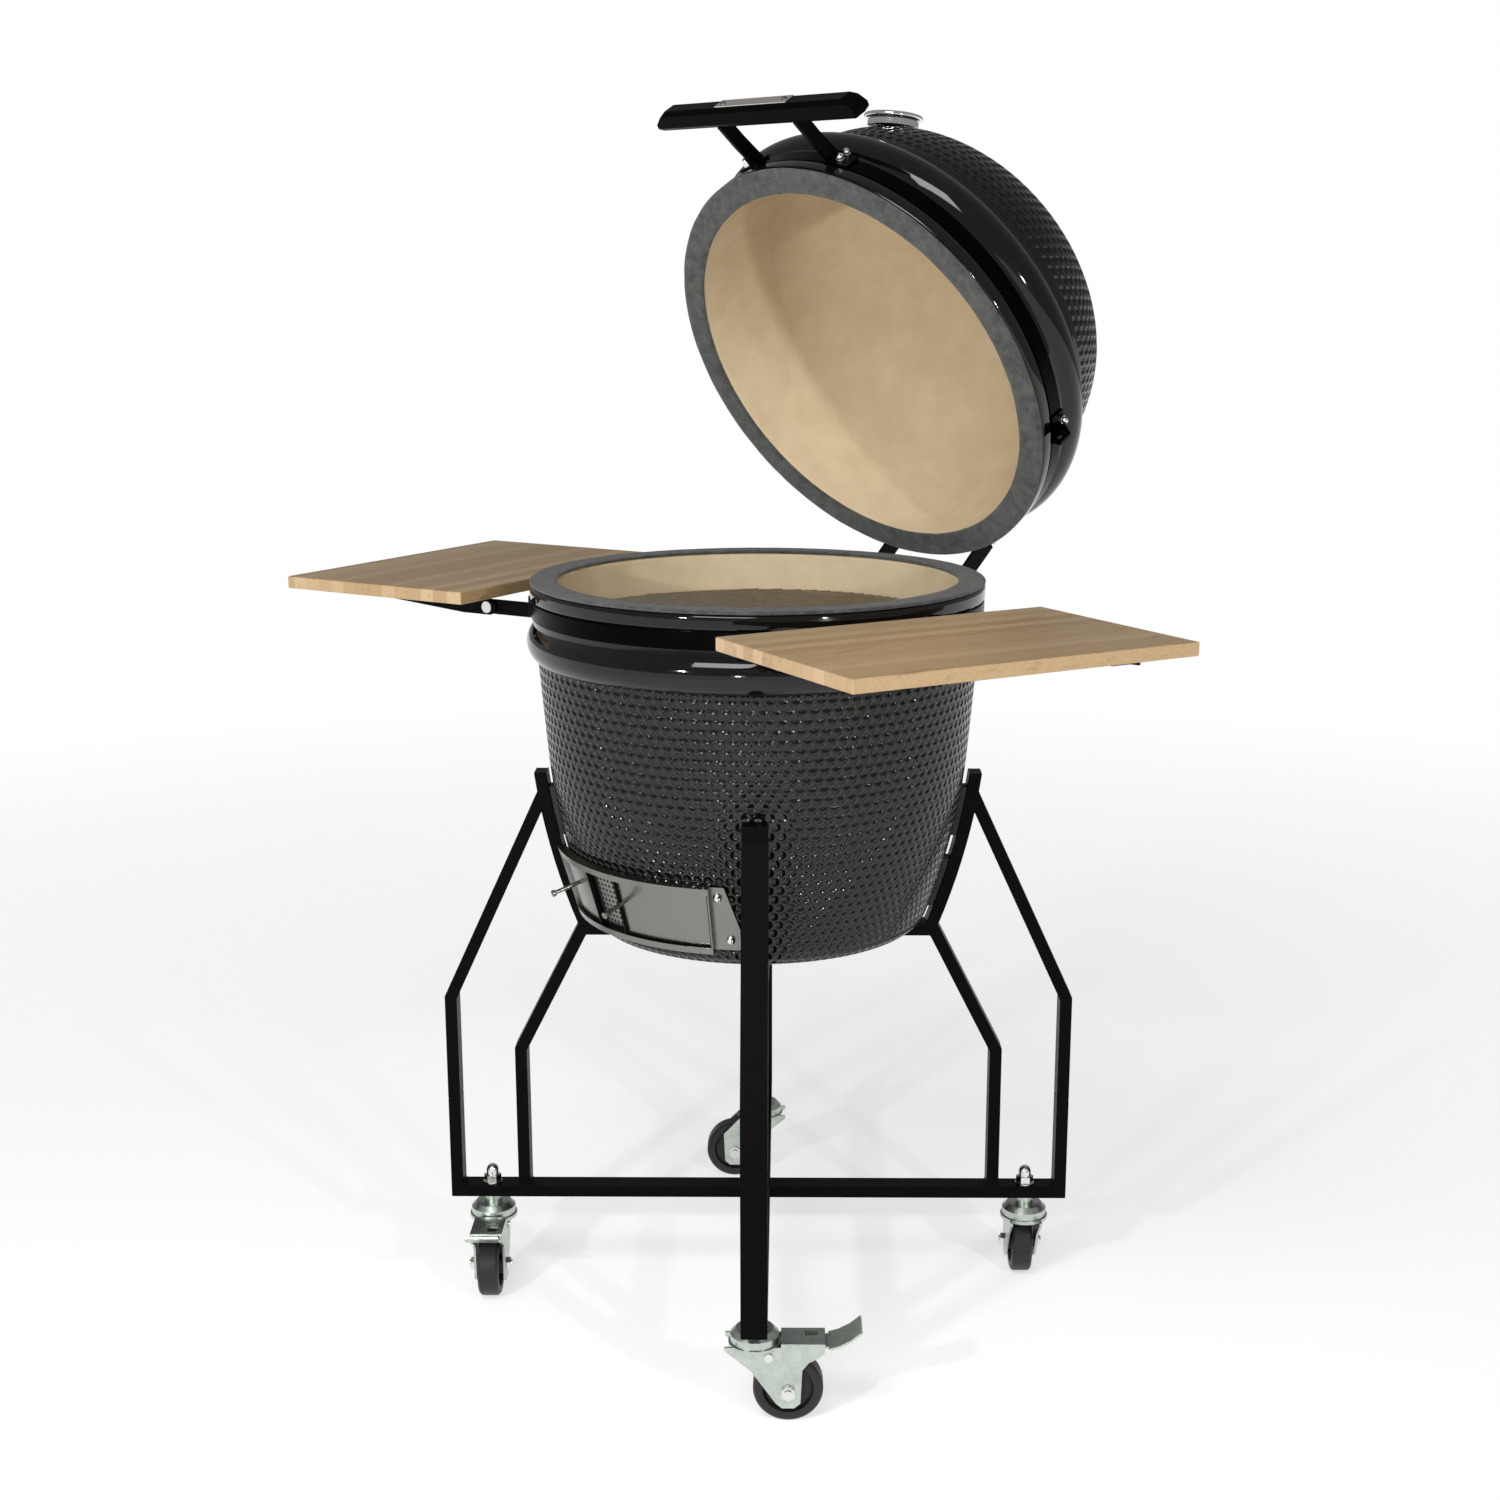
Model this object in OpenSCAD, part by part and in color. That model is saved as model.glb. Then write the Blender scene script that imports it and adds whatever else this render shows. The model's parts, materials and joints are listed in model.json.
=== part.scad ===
// Kamado ceramic grill on a welded four-leg stand with swivel casters, millimetres.
// +Z is up, the front of the grill is -Y and the lid hinge is at +Y.
// The origin is on the floor, under the middle of the outline that the grill has with its lid open.

/* [Bowl and lid] */
// Outer radius of the ceramic rims
rim_r = 272; // [268:1:280]
// Height of the bowl's gasket face above the floor
rim_z = 917; // [900:1:940]
// Thickness of the ceramic walls
ceramic_t = 22; // [20:1:26]
// Height of the flat bottom of the bowl
bowl_z = 490; // [485:1:495]
// Height from the lid's rim to the top of its dome
dome_h = 287; // [280:1:300]
// Angle that the lid stands open
lid_open = 60; // [0:5:60]
// Thickness of each felt gasket
felt_t = 4; // [3:0.5:6]

/* [Stand] */
// Distance from the axis to the outside of the legs
leg_r = 392; // [380:1:400]
// Height of the underside of the bottom cross
base_z = 121; // [119:1:125]
// Thickness of the leg tube, seen from the side
tube_t = 15; // [12:1:18]
// Width of the leg tube
tube_w = 30; // [25:1:35]
// Wall thickness of the leg tube
tube_wall = 1.5; // [1:0.5:2.5]

/* [Casters] */
// Distance from the axis to each caster stud
caster_r = 341; // [335:1:345]
// Radius of the caster wheels
wheel_r = 40; // [36:1:41]
// Offset of the wheel axle from the stud
trail = 38; // [34:1:40]

/* [Shelves] */
// Distance from the axis to the inner edge of a shelf
shelf_in = 284; // [284:1:300]
// Width of a shelf board, inner edge to outer edge
shelf_w = 272; // [240:1:300]
// Length of a shelf board
shelf_l = 420; // [380:1:440]
// Thickness of a shelf board
board_t = 15; // [12:1:18]
// Angle that each shelf is swung forward
shelf_swing = 15; // [0:1:20]

/* [Handle] */
// Length of the handle bar
handle_l = 320; // [260:5:340]

/* [Hidden] */
$fn = 96;

big = 1000;             // longer than any part
eps = 1;                // how far a cut runs past a face
gap = 0.3;              // air between faces that move past each other
fit = 0.05;             // radial clearance of a pin in its hole

// The bowl's axis stands this far from the origin, along Y
axis_y = -57;

// Bowl profile: side wall as one large arc with a rounded foot
side_z = 700;
side_r = 253.5;
side_arc = 800;
side_tilt = 6.3;
side_c = [side_r - side_arc * cos(side_tilt), side_z + side_arc * sin(side_tilt)];
foot_r = 30;
shoulder_z = 820;
shoulder_r = 264;
cavity_r = rim_r - 32;
floor_t = 28;

// Bead and band groove, as distances from the rim's ceramic face
lip_h = 18;
groove_h = 26;
groove_r = rim_r - 4;
band_t = 2.8;
band_w = 20;
band_h = 20;
bead_h = 68;
bead_r = 27.4;
bead_out = rim_r + 5;
strap_r = groove_r + 0.2 + band_t;
plate_r = strap_r + 0.3;
plate_t = 3;

// Lid dome: a side arc and a top arc that meet smoothly
dome_side_r = 140;
dome_side_c = [108, 115];
dome_rise = dome_h - dome_side_r;
dome_top_c = [0, (pow(dome_rise, 2) - pow(norm(dome_side_c), 2)) / (2 * (dome_rise - dome_side_c[1]))];
dome_top_r = dome_h - dome_top_c[1];
dome_joint = unit(dome_side_c - dome_top_c);
dome_t = 20;
lid_z = rim_z + gap;
vent_flat = 280.5;
vent_hole_r = 45;

// Lid hinge
pivot_y = 286;
pivot_z = 890;
pin_r = 5;
eye_r = 11;
ear_t = 4;
ear_in = 72;
ear_out = 77;
hinge_a = 21;

// Leg frame, in the plane of one leg (distance from the axis, height)
arm_angles = [45, 135, 225, 315];
seam_z = 256;
post_out = leg_r - tube_t / 2;
post_in = 298.5;
knee_z = 389;
apex = [249.2, 680.8];
inner_knee_z = 321;
inner_top = [214.3, 486.6];
cradle_z = 472;
cradle_arc = side_arc + 22;
apex_z = 684;
sleeve_l = 70;

// Casters, in the frame of one stud (X out along the leg, Y the way the wheel trails)
stud_r = 6;
crown_top = 95;
crown_t = 4;
crown_r = 30;
fork_in = 17;
fork_t = 3;
axle_r = 5;
pedal_pin = [16, 83];
pedal_pin_r = 3;

// Draft door: channel on the sloping wall, angles measured from the front
slope = 16.5;
slope_z = 515;
slope_r = 213;
frame_l = 88;
frame_d = 10;
sheet = 1.2;
frame_a = 32.5;
flange_a = 40.5;
flange_top_a = 36.2;
draft_mid = -4;
draft_half = 5.5;
door_v = 3.8;
door_left = [-31.5, -10];
door_right = [2, 31.5];

// Shelf hardware, in the frame of one shelf (u outward, v along the board, z up)
shelf_z = 903;
arm_v = 140;
shelf_u = 296;
shelf_pivot_z = 876;
arm_t = 3;
clip_t = 3;
shelf_bolt_r = 4;

// Thermometer position on the side arc of the dome
thermo_a = 37;
thermo_r = 36;

// ---------- helpers ----------

function unit(v) = v / norm(v);
function left(v) = [-v[1], v[0]];
function flip(list) = [for (i = [len(list) - 1 : -1 : 0]) list[i]];

// One side of a mitred strip: every corner of path moved h to its left
function side(path, h) = [
    for (i = [0 : len(path) - 1])
        let (last = len(path) - 1,
             a = i == 0 ? unit(path[1] - path[0]) : unit(path[i] - path[i - 1]),
             b = i == last ? a : unit(path[i + 1] - path[i]),
             m = unit(left(a) + left(b)))
        path[i] + m * h / (m * left(a))
];
function ribbon(path, t) = concat(side(path, t / 2), flip(side(path, -t / 2)));

// A point on the sloping wall: u up the slope, v out of it
function on_slope(u, v) = [
    slope_r + u * sin(slope) + v * cos(slope),
    slope_z + u * cos(slope) - v * sin(slope)
];

module placed() { translate([0, axis_y, 0]) children(); }

// Draws a (distance, height) outline as a plate of width w across the leg
module upright(w) { rotate([90, 0, 0]) translate([0, 0, -w / 2]) linear_extrude(w) children(); }

// Draws a (y, z) outline as a plate from x0, t thick
module sideways(x0, t) { translate([x0, 0, 0]) rotate([90, 0, 90]) linear_extrude(t) children(); }

// A ring segment between two angles from the front
module arc_part(a0, a1) { rotate([0, 0, a0 - 90]) rotate_extrude(angle = a1 - a0) children(); }

module rod_x(r, x0, x1) { translate([x0, 0, 0]) rotate([0, 90, 0]) cylinder(r = r, h = x1 - x0); }

module hex(af, h) { cylinder(d = af / cos(30), h = h, $fn = 6); }

// Domed cap nut of width af across its flats, standing on z = 0
module cap_nut(af) {
    hex(af, af * 0.45);
    cylinder(d = af * 0.86, h = af * 0.75);
    translate([0, 0, af * 0.75]) intersection() {
        sphere(d = af * 0.86);
        cylinder(d = af, h = af);
    }
}

// ---------- stand ----------

module at_arm(a) { rotate([0, 0, a]) children(); }

module arc_bar(inset, z0, z1) {
    upright(tube_w - 2 * inset) intersection() {
        difference() {
            translate(side_c) circle(r = cradle_arc - inset);
            translate(side_c) circle(r = cradle_arc - tube_t + inset);
        }
        translate([0, z0]) square([leg_r, z1 - z0]);
    }
}

module arm_solid() {
    upright(tube_w) difference() {
        polygon(ribbon([[post_out, seam_z], [post_out, knee_z], apex], tube_t));
        translate(side_c) circle(r = cradle_arc - tube_t);
    }
    upright(tube_w) polygon(ribbon([[post_in, seam_z], [post_in, inner_knee_z], inner_top], tube_t));
    arc_bar(0, cradle_z, apex_z - 6);
}

// The hollow inside of the tubes, open at the seam with the bottom cross
module arm_hollow() {
    hollow_t = tube_t - 2 * tube_wall;
    hollow_w = tube_w - 2 * tube_wall;
    upright(hollow_w)
        polygon(ribbon([[post_out, seam_z - eps], [post_out, knee_z], apex * 0.7 + [post_out, knee_z] * 0.3],
                       hollow_t));
    upright(hollow_w)
        polygon(ribbon([[post_in, seam_z - eps], [post_in, inner_knee_z],
                        inner_top * 0.8 + [post_in, inner_knee_z] * 0.2], hollow_t));
    arc_bar(tube_wall, cradle_z + 25, apex_z - 90);
}

module level_bar(r0, r1) {
    upright(tube_w) translate([r0, cradle_z]) square([r1 - r0, tube_t]);
}
module level_hollow(r0, r1) {
    upright(tube_w - 2 * tube_wall)
        translate([r0, cradle_z + tube_wall]) square([r1 - r0, tube_t - 2 * tube_wall]);
}

module two_arms(a) {
    for (turn = [0, 180]) at_arm(a + turn) difference() {
        arm_solid();
        arm_hollow();
    }
}

module leg_frame_a() {
    color("#1b1b1c") placed() {
        two_arms(arm_angles[1]);
        at_arm(arm_angles[1]) difference() {
            level_bar(-inner_top[0], inner_top[0]);
            level_hollow(30 - inner_top[0], inner_top[0] - 30);
        }
    }
}

module leg_frame_b() {
    color("#1b1b1c") placed() {
        two_arms(arm_angles[0]);
        for (turn = [0, 180]) at_arm(arm_angles[0] + turn) difference() {
            level_bar(tube_w / 2, inner_top[0]);
            level_hollow(tube_w / 2 + 3, inner_top[0] - 30);
        }
    }
}

module base_outline(t, top) {
    mid = base_z + tube_t / 2;
    polygon(ribbon([[post_out, top], [post_out, mid], [0, mid]], t));
    polygon(ribbon([[post_in, top], [post_in, mid]], t));
}

module base_cross() {
    hollow_t = tube_t - 2 * tube_wall;
    color("#1b1b1c") placed() difference() {
        for (a = arm_angles) at_arm(a) upright(tube_w) base_outline(tube_t, seam_z);
        for (a = arm_angles) at_arm(a) {
            upright(tube_w - 2 * tube_wall) base_outline(hollow_t, seam_z + eps);
            translate([caster_r, 0, base_z - eps]) cylinder(r = stud_r + 0.5, h = tube_t + 2 * eps);
        }
    }
}

module post_sleeves() {
    slack = 2 * (tube_wall + 0.3);
    color("#2a2a2b") placed() for (a = arm_angles, r = [post_out, post_in])
        at_arm(a) translate([r, 0, seam_z])
            cube([tube_t - slack, tube_w - slack, sleeve_l], center = true);
}

// Flat saddles that hold the bowl off the bars
module cradle_pads() {
    color("#2c2c2c") placed() for (a = arm_angles) at_arm(a) {
        for (z0 = [510, 600]) upright(24) intersection() {
            difference() {
                translate(side_c) circle(r = cradle_arc - tube_t - 0.05);
                translate(side_c) circle(r = side_arc + 0.3);
            }
            translate([0, z0]) square([leg_r, 60]);
        }
        translate([100, 0, (cradle_z + tube_t + bowl_z) / 2])
            cube([70, 24, bowl_z - cradle_z - tube_t - 0.1], center = true);
    }
}

// ---------- casters ----------

module at_stud(a) { placed() rotate([0, 0, a]) translate([caster_r, 0, 0]) children(); }

module caster_tops() {
    cup_z = crown_top + gap;
    color("#b9b4a6") for (a = arm_angles) at_stud(a) {
        translate([0, 0, cup_z]) cylinder(r = 28, h = 9);
        translate([0, 0, cup_z + 9]) cylinder(r1 = 28, r2 = 22, h = 6);
        translate([0, 0, cup_z + 15]) cylinder(r = 11, h = base_z - cup_z - 15);
        translate([0, 0, crown_top - crown_t - gap - 4]) cylinder(r = 10, h = 4);
        translate([0, 0, crown_top - crown_t - gap - 4]) cylinder(r = stud_r, h = 61);
    }
}

module caster_cap_nuts() {
    color("#d8d8d8") for (a = arm_angles) at_stud(a) difference() {
        translate([0, 0, base_z + tube_t]) {
            cylinder(r = 12, h = 2);
            translate([0, 0, 2]) cap_nut(19);
        }
        translate([0, 0, base_z + tube_t - eps]) cylinder(r = stud_r + fit, h = 13);
    }
}

// Pressed fork; with a brake its cheeks run back into a channel that carries the pedal
module fork(a, has_brake) {
    arm_top = crown_top + 4.5;
    arm_t = 2.5;
    front = [[-34, crown_top], [-34, crown_top - crown_t], [-4, 66], [24, 26], [31, 20], [45, 20], [52, 26], [54, 67]];
    arm = [[61, 76], [72, 82], [79, 88], [80, arm_top], [crown_r, arm_top], [crown_r, crown_top]];
    color("#c2bda8") at_stud(a) difference() {
        union() {
            translate([0, 0, crown_top - crown_t]) cylinder(r = crown_r, h = crown_t);
            for (x0 = [fork_in, -fork_in - fork_t]) sideways(x0, fork_t)
                polygon(concat(front, has_brake ? arm : [[26, crown_top]]));
            if (has_brake) sideways(-fork_in - fork_t, 2 * (fork_in + fork_t))
                translate([crown_r, arm_top - arm_t]) square([80 - crown_r, arm_t]);
        }
        translate([0, 0, crown_top - crown_t - eps]) cylinder(r = stud_r + fit, h = crown_t + 2 * eps);
        translate([0, trail, wheel_r]) rod_x(axle_r + fit, -30, 30);
        if (has_brake) {
            translate([0, pedal_pin[0], pedal_pin[1]]) rod_x(pedal_pin_r + fit, -30, 30);
            translate([-12, 57, arm_top - 2 * arm_t]) cube([11, 15, 3 * arm_t]);
        }
    }
}

module wheel(a) {
    half = 13;
    web = 7;
    color("#8f8f8d") at_stud(a) translate([0, trail, wheel_r]) rotate([0, 90, 0]) difference() {
        rotate_extrude() polygon([
            [0, -16], [12, -16], [13, -web], [27, -web], [29, -half], [wheel_r - 3, -half],
            [wheel_r, 3 - half], [wheel_r, half - 3], [wheel_r - 3, half], [29, half],
            [27, web], [13, web], [12, 16], [0, 16]
        ]);
        cylinder(r = axle_r + fit, h = 40, center = true);
    }
}

// Axle bolt with its nut; a caster with a brake has the pedal's pin too
module axle(a, has_brake) {
    reach = fork_in + fork_t + gap;
    color("#d0cfca") at_stud(a) {
        translate([0, trail, wheel_r]) {
            rod_x(axle_r, -reach - 7, reach + 7);
            for (s = [0, 180]) rotate([0, 0, s]) translate([reach, 0, 0]) rotate([0, 90, 0]) hex(15, 5);
        }
        if (has_brake) translate([0, pedal_pin[0], pedal_pin[1]]) {
            rod_x(pedal_pin_r, -reach, reach);
            for (s = [0, 180]) rotate([0, 0, s]) translate([reach, 0, 0]) rod_x(5, 0, 2);
        }
    }
}

// Pedal inside the fork's channel: a strip with two eyes, a shoe over the tyre and a wide tongue
module brake_pedal(a) {
    half_w = fork_in - 1;
    cheek_t = 2.5;
    sheet_t = 2.5;
    tongue_w = 42;
    color("#c2bda8") at_stud(a) difference() {
        union() {
            for (x0 = [half_w - cheek_t, -half_w]) sideways(x0, cheek_t) {
                polygon([[13, 80], [22, 80], [22, 88], [13, 87]]);
                translate(pedal_pin) circle(r = 6);
            }
            sideways(-half_w, 2 * half_w) polygon(ribbon([[13, 86.8], [46, 90], [86, 94]], sheet_t));
            sideways(-tongue_w / 2, tongue_w) polygon(ribbon([[84, 93.5], [96, 97], [109, 104], [121, 114]], sheet_t));
            translate([0, 51, 88]) rod_x(4.6, 3 - half_w, half_w - 3);
        }
        translate([0, pedal_pin[0], pedal_pin[1]]) rod_x(pedal_pin_r + fit, -30, 30);
    }
}

// ---------- bowl ----------

// Body of a bowl profile: the side arc grown by d, cut at height z0 with a rounded foot
module bowl_body(d, z0, round_r) {
    arc = side_arc + d;
    cz = z0 + round_r;
    cr = side_c[0] + sqrt(pow(arc - round_r, 2) - pow(side_c[1] - cz, 2));
    touch_z = side_c[1] - (side_c[1] - cz) * arc / (arc - round_r);
    intersection() {
        translate(side_c) circle(r = arc, $fn = 360);
        translate([0, touch_z]) square([big, side_z - touch_z]);
    }
    translate([0, z0]) square([cr, side_z - z0]);
    translate([cr, cz]) circle(r = round_r);
}

module bowl_profile() {
    top = rim_z - felt_t;
    difference() {
        union() {
            bowl_body(0, bowl_z, foot_r);
            polygon([[0, side_z], [side_r, side_z], [shoulder_r, shoulder_z],
                     [groove_r, top - groove_h - band_w - 4], [groove_r, top], [0, top]]);
            translate([0, top - lip_h]) square([rim_r, lip_h]);
            translate([bead_out - bead_r, top - bead_h]) circle(r = bead_r);
        }
        bowl_body(-ceramic_t, bowl_z + floor_t, 22);
        polygon([[0, side_z - eps], [side_r - ceramic_t, side_z - eps], [side_r - ceramic_t, side_z],
                 [cavity_r, shoulder_z + 30], [cavity_r, big], [0, big]]);
        translate([-big, 0]) square([big, 2 * big]);
    }
}

module bowl() {
    color("#3a3a38") placed() difference() {
        rotate_extrude() bowl_profile();
        arc_part(draft_mid - draft_half, draft_mid + draft_half)
            translate([150, slope_z + 18]) square([150, 50]);
    }
}

module bowl_gasket() {
    color("#5d5f59") placed() rotate_extrude()
        translate([cavity_r, rim_z - felt_t]) square([rim_r - cavity_r, felt_t]);
}

module strap(z0) {
    rotate_extrude() translate([strap_r - band_t, z0]) square([band_t, band_w]);
}

module bowl_band() {
    color("#111111") placed() strap(rim_z - felt_t - groove_h - band_w + 6);
}

// ---------- draft door ----------

module slope_shape(points) { polygon([for (p = points) on_slope(p[0], p[1])]); }

module slope_plate(u0, u1, v, t) { slope_shape([[u0, v], [u1, v], [u1, v + t], [u0, v + t]]); }

// Places children at angle a from the front and height u, with +X pointing out of the wall
module on_wall(a, u) {
    p = on_slope(u, 0);
    rotate([0, 0, a - 90]) translate([p[0], 0, p[1]]) rotate([0, slope, 0]) children();
}

module draft_frame() {
    lip = 8;
    color("#b8bab8") placed() difference() {
        union() {
            arc_part(-frame_a, frame_a) slope_shape([
                [0, 0], [frame_l, 0], [frame_l, frame_d], [frame_l - lip, frame_d],
                [frame_l - lip, frame_d - sheet], [frame_l - sheet, frame_d - sheet],
                [frame_l - sheet, sheet], [sheet, sheet], [sheet, frame_d - sheet],
                [lip, frame_d - sheet], [lip, frame_d], [0, frame_d]
            ]);
            for (a = [-frame_a, frame_a - 0.4]) arc_part(a, a + 0.4) slope_plate(0, frame_l, 0, frame_d);
            difference() {
                for (a = [-flange_a, frame_a - 0.2]) arc_part(a, a + flange_a - frame_a + 0.2)
                    slope_plate(2, frame_l - 2, 0, sheet);
                for (side = [-1, 1]) on_wall(side * flange_top_a, frame_l) rotate([side * 16, 0, 0])
                    translate([-20, side > 0 ? 0 : -40, -2 * frame_l]) cube([40, 40, 3 * frame_l]);
            }
        }
        arc_part(draft_mid - draft_half, draft_mid + draft_half) slope_plate(14, 74, -eps, sheet + 2 * eps);
    }
}

// Perforated spark screen behind the doors
module draft_screen() {
    color("#9c9e9b") placed() difference() {
        arc_part(draft_mid - draft_half - 3, draft_mid + draft_half + 3) slope_plate(9, 79, sheet + 0.1, 0.8);
        for (i = [-3 : 3], j = [-4 : 4]) on_wall(draft_mid + i * 1.7, frame_l / 2 + j * 6.8)
            rod_x(1.8, -5, 10);
    }
}

module draft_bolts() {
    color("#9a9a96") placed() for (side = [-1, 1], place = [[37.6, 16], [34.4, 72]]) on_wall(side * place[0], place[1])
        translate([sheet + 0.1, 0, 0]) rotate([0, 90, 0]) {
            cylinder(r = 5.5, h = 1.5);
            translate([0, 0, 1.5]) intersection() {
                translate([0, 0, -3]) sphere(r = 6.2);
                cylinder(r = 5.5, h = 4);
            }
        }
}

// Sliding door with its pull pin; the leading edge is folded outward
module draft_door(span, pin_a, edge_a) {
    color("#c9cbc8") placed() {
        arc_part(span[0], span[1]) slope_plate(2.2, frame_l - 2.2, door_v, sheet);
        arc_part(edge_a, edge_a + 0.4) slope_plate(10, frame_l - 10, door_v, 5);
        on_wall(pin_a, frame_l * 0.62) {
            rod_x(2.5, door_v, 42);
            translate([39, 0, 0]) rod_x(4, 0, 4);
        }
    }
}

// ---------- inside the bowl ----------

fire_z = bowl_z + floor_t + 1;
firebox_h = 160;
ring_h = 180;

module firebox() {
    floor_h = 20;
    color("#b9a888") placed() difference() {
        translate([0, 0, fire_z]) cylinder(r1 = 165, r2 = 200, h = firebox_h);
        translate([0, 0, fire_z + floor_h]) cylinder(r1 = 146, r2 = 181, h = firebox_h);
        arc_part(draft_mid - 9, draft_mid + 9) translate([95, fire_z + 4]) square([120, 60]);
        for (a = [0 : 45 : 315]) rotate([0, 0, a + 10])
            translate([70, 0, fire_z - eps]) cylinder(r = 10, h = floor_h + 2 * eps);
    }
}

// Ring with a rebated foot that stands on the fire box
module fire_ring() {
    outer_r = 212;
    ring_t = 17;
    foot_z = fire_z + firebox_h + eps;
    color("#c4b594") placed() difference() {
        translate([0, 0, foot_z]) cylinder(r = outer_r, h = ring_h);
        translate([0, 0, foot_z - eps]) cylinder(r = outer_r - ring_t, h = ring_h + 2 * eps);
    }
}

// Cast grate with rings of round holes, resting on the fire box's slope
module charcoal_grate() {
    hole_r = 8;
    ring_pitch = 30;
    grate_z = fire_z + 76;
    color("#262626") placed() difference() {
        translate([0, 0, grate_z]) cylinder(r = 150, h = 6);
        for (ring = [1 : 4]) for (k = [0 : 6 * ring - 1]) rotate([0, 0, k * 60 / ring])
            translate([ring * ring_pitch, 0, grate_z - eps]) cylinder(r = hole_r, h = 6 + 2 * eps);
    }
}

grid_z = fire_z + firebox_h + ring_h + eps + gap;
module cooking_grid() {
    ring_r = 228;
    ring_t = 5;
    rod_pitch = 12.5;
    rod_r = 2.5;
    bar_h = 7;
    color("#8d8d86") placed() rotate([0, 0, 65]) translate([0, 0, grid_z]) {
        rotate_extrude() translate([ring_r - ring_t, 0]) square([ring_t, bar_h + 1]);
        for (i = [-17 : 17]) {
            half = sqrt(pow(ring_r - ring_t / 2, 2) - pow(i * rod_pitch, 2));
            translate([0, i * rod_pitch, bar_h]) rod_x(rod_r, -half, half);
        }
        for (x = [-120, 0, 120]) {
            half = sqrt(pow(ring_r - ring_t / 2, 2) - pow(x, 2));
            translate([x - ring_t / 2, -half, 0]) cube([ring_t, 2 * half, bar_h]);
        }
    }
}

// ---------- hinge ----------

module hinge_strip(z0, z1) {
    rotate([0, 0, 90 - hinge_a]) rotate_extrude(angle = 2 * hinge_a)
        translate([plate_r, z0]) square([plate_t, z1 - z0]);
}

module pin_hole() { translate([0, pivot_y, pivot_z]) rod_x(pin_r + fit, -big, big); }

module hinge_lower() {
    color("#161616") placed() difference() {
        union() {
            hinge_strip(pivot_z - 23, pivot_z + 4);
            for (x0 = [ear_out, -ear_out - ear_t]) sideways(x0, ear_t) {
                polygon([[262, 868], [262, 893], [284, 902], [300, 897], [320, 884], [320, 860], [298, 866]]);
                translate([pivot_y, pivot_z]) circle(r = eye_r);
            }
        }
        pin_hole();
    }
}

module hinge_upper() {
    top = lid_z + felt_t;
    color("#161616") in_lid() difference() {
        union() {
            hinge_strip(top + band_h - 2, top + band_h + band_w + 2);
            for (x0 = [ear_in, -ear_in - ear_t]) sideways(x0, ear_t) {
                polygon([[264, top + band_h], [264, top + band_h + band_w], [284, top + band_h + band_w],
                         [297, pivot_z + 2], [276, pivot_z - 4]]);
                translate([pivot_y, pivot_z]) circle(r = eye_r);
            }
        }
        pin_hole();
    }
}

module hinge_pin() {
    reach = ear_out + ear_t + gap;
    color("#c8c8c8") placed() translate([0, pivot_y, pivot_z]) {
        rod_x(pin_r, -reach - 2, reach + 2);
        for (s = [0, 180]) rotate([0, 0, s]) translate([reach, 0, 0]) rotate([0, 90, 0]) cap_nut(14);
    }
}

// Helper springs: wire coils round the pin, worked out turn by turn
coil_r = 9.2;
wire_r = 1.9;
coil_steps = 14;
function coil_point(k, pitch) = [k * pitch / coil_steps,
                                 coil_r * cos(k * 360 / coil_steps), coil_r * sin(k * 360 / coil_steps)];
module coil(turns, pitch) {
    sides = 6;
    count = turns * coil_steps;
    points = [for (k = [0 : count], s = [0 : sides - 1])
        let (a = k * 360 / coil_steps, b = s * 360 / sides, p = coil_point(k, pitch))
        p + wire_r * [sin(b), cos(b) * cos(a), cos(b) * sin(a)]];
    faces = concat(
        [[for (s = [0 : sides - 1]) s]],
        [[for (s = [sides - 1 : -1 : 0]) count * sides + s]],
        [for (k = [0 : count - 1], s = [0 : sides - 1])
            [k * sides + s, (k + 1) * sides + s, (k + 1) * sides + (s + 1) % sides, k * sides + (s + 1) % sides]]);
    polyhedron(points = points, faces = faces);
}
module hinge_springs() {
    color("#3a3a3a") placed() translate([0, pivot_y, pivot_z])
        for (x0 = [-66, 24]) translate([x0, 0, 0]) coil(9, 4.6);
}

// ---------- shelves ----------

// Puts children in the frame of one shelf: X outward, Y along the board
module at_shelf(s) {
    placed() mirror([s < 0 ? 1 : 0, 0, 0]) rotate([0, 0, -shelf_swing]) children();
}

module shelf_board(s) {
    color("#c79a5b") at_shelf(s) translate([shelf_in, -shelf_l / 2, shelf_z - board_t])
        cube([shelf_w, shelf_l, board_t]);
}

module shelf_arms(s) {
    top = shelf_z - board_t;
    end = shelf_in + shelf_w - 10;
    color("#161616") at_shelf(s) for (v = [-arm_v, arm_v]) difference() {
        translate([0, v, 0]) {
            upright(arm_t) {
                polygon([[shelf_u - 8, top - 12], [shelf_u, top - 1], [shelf_u + 12, top],
                         [end, top], [end, top - 5], [shelf_u + 40, top - 22], [shelf_u, top - 22]]);
                translate([shelf_u, shelf_pivot_z]) circle(r = 10);
            }
            translate([shelf_u + 14, -35, top - arm_t]) cube([end - shelf_u - 14, 35, arm_t]);
        }
        translate([shelf_u, v - big / 2, shelf_pivot_z]) rotate([-90, 0, 0])
            cylinder(r = shelf_bolt_r + fit, h = big);
    }
}

module shelf_screws(s) {
    color("#8a8a8a") at_shelf(s) for (v = [-arm_v, arm_v], u = [345, 500])
        translate([u, v - 22, shelf_z - board_t - arm_t - 2]) cylinder(r = 5, h = 2);
}

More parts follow.
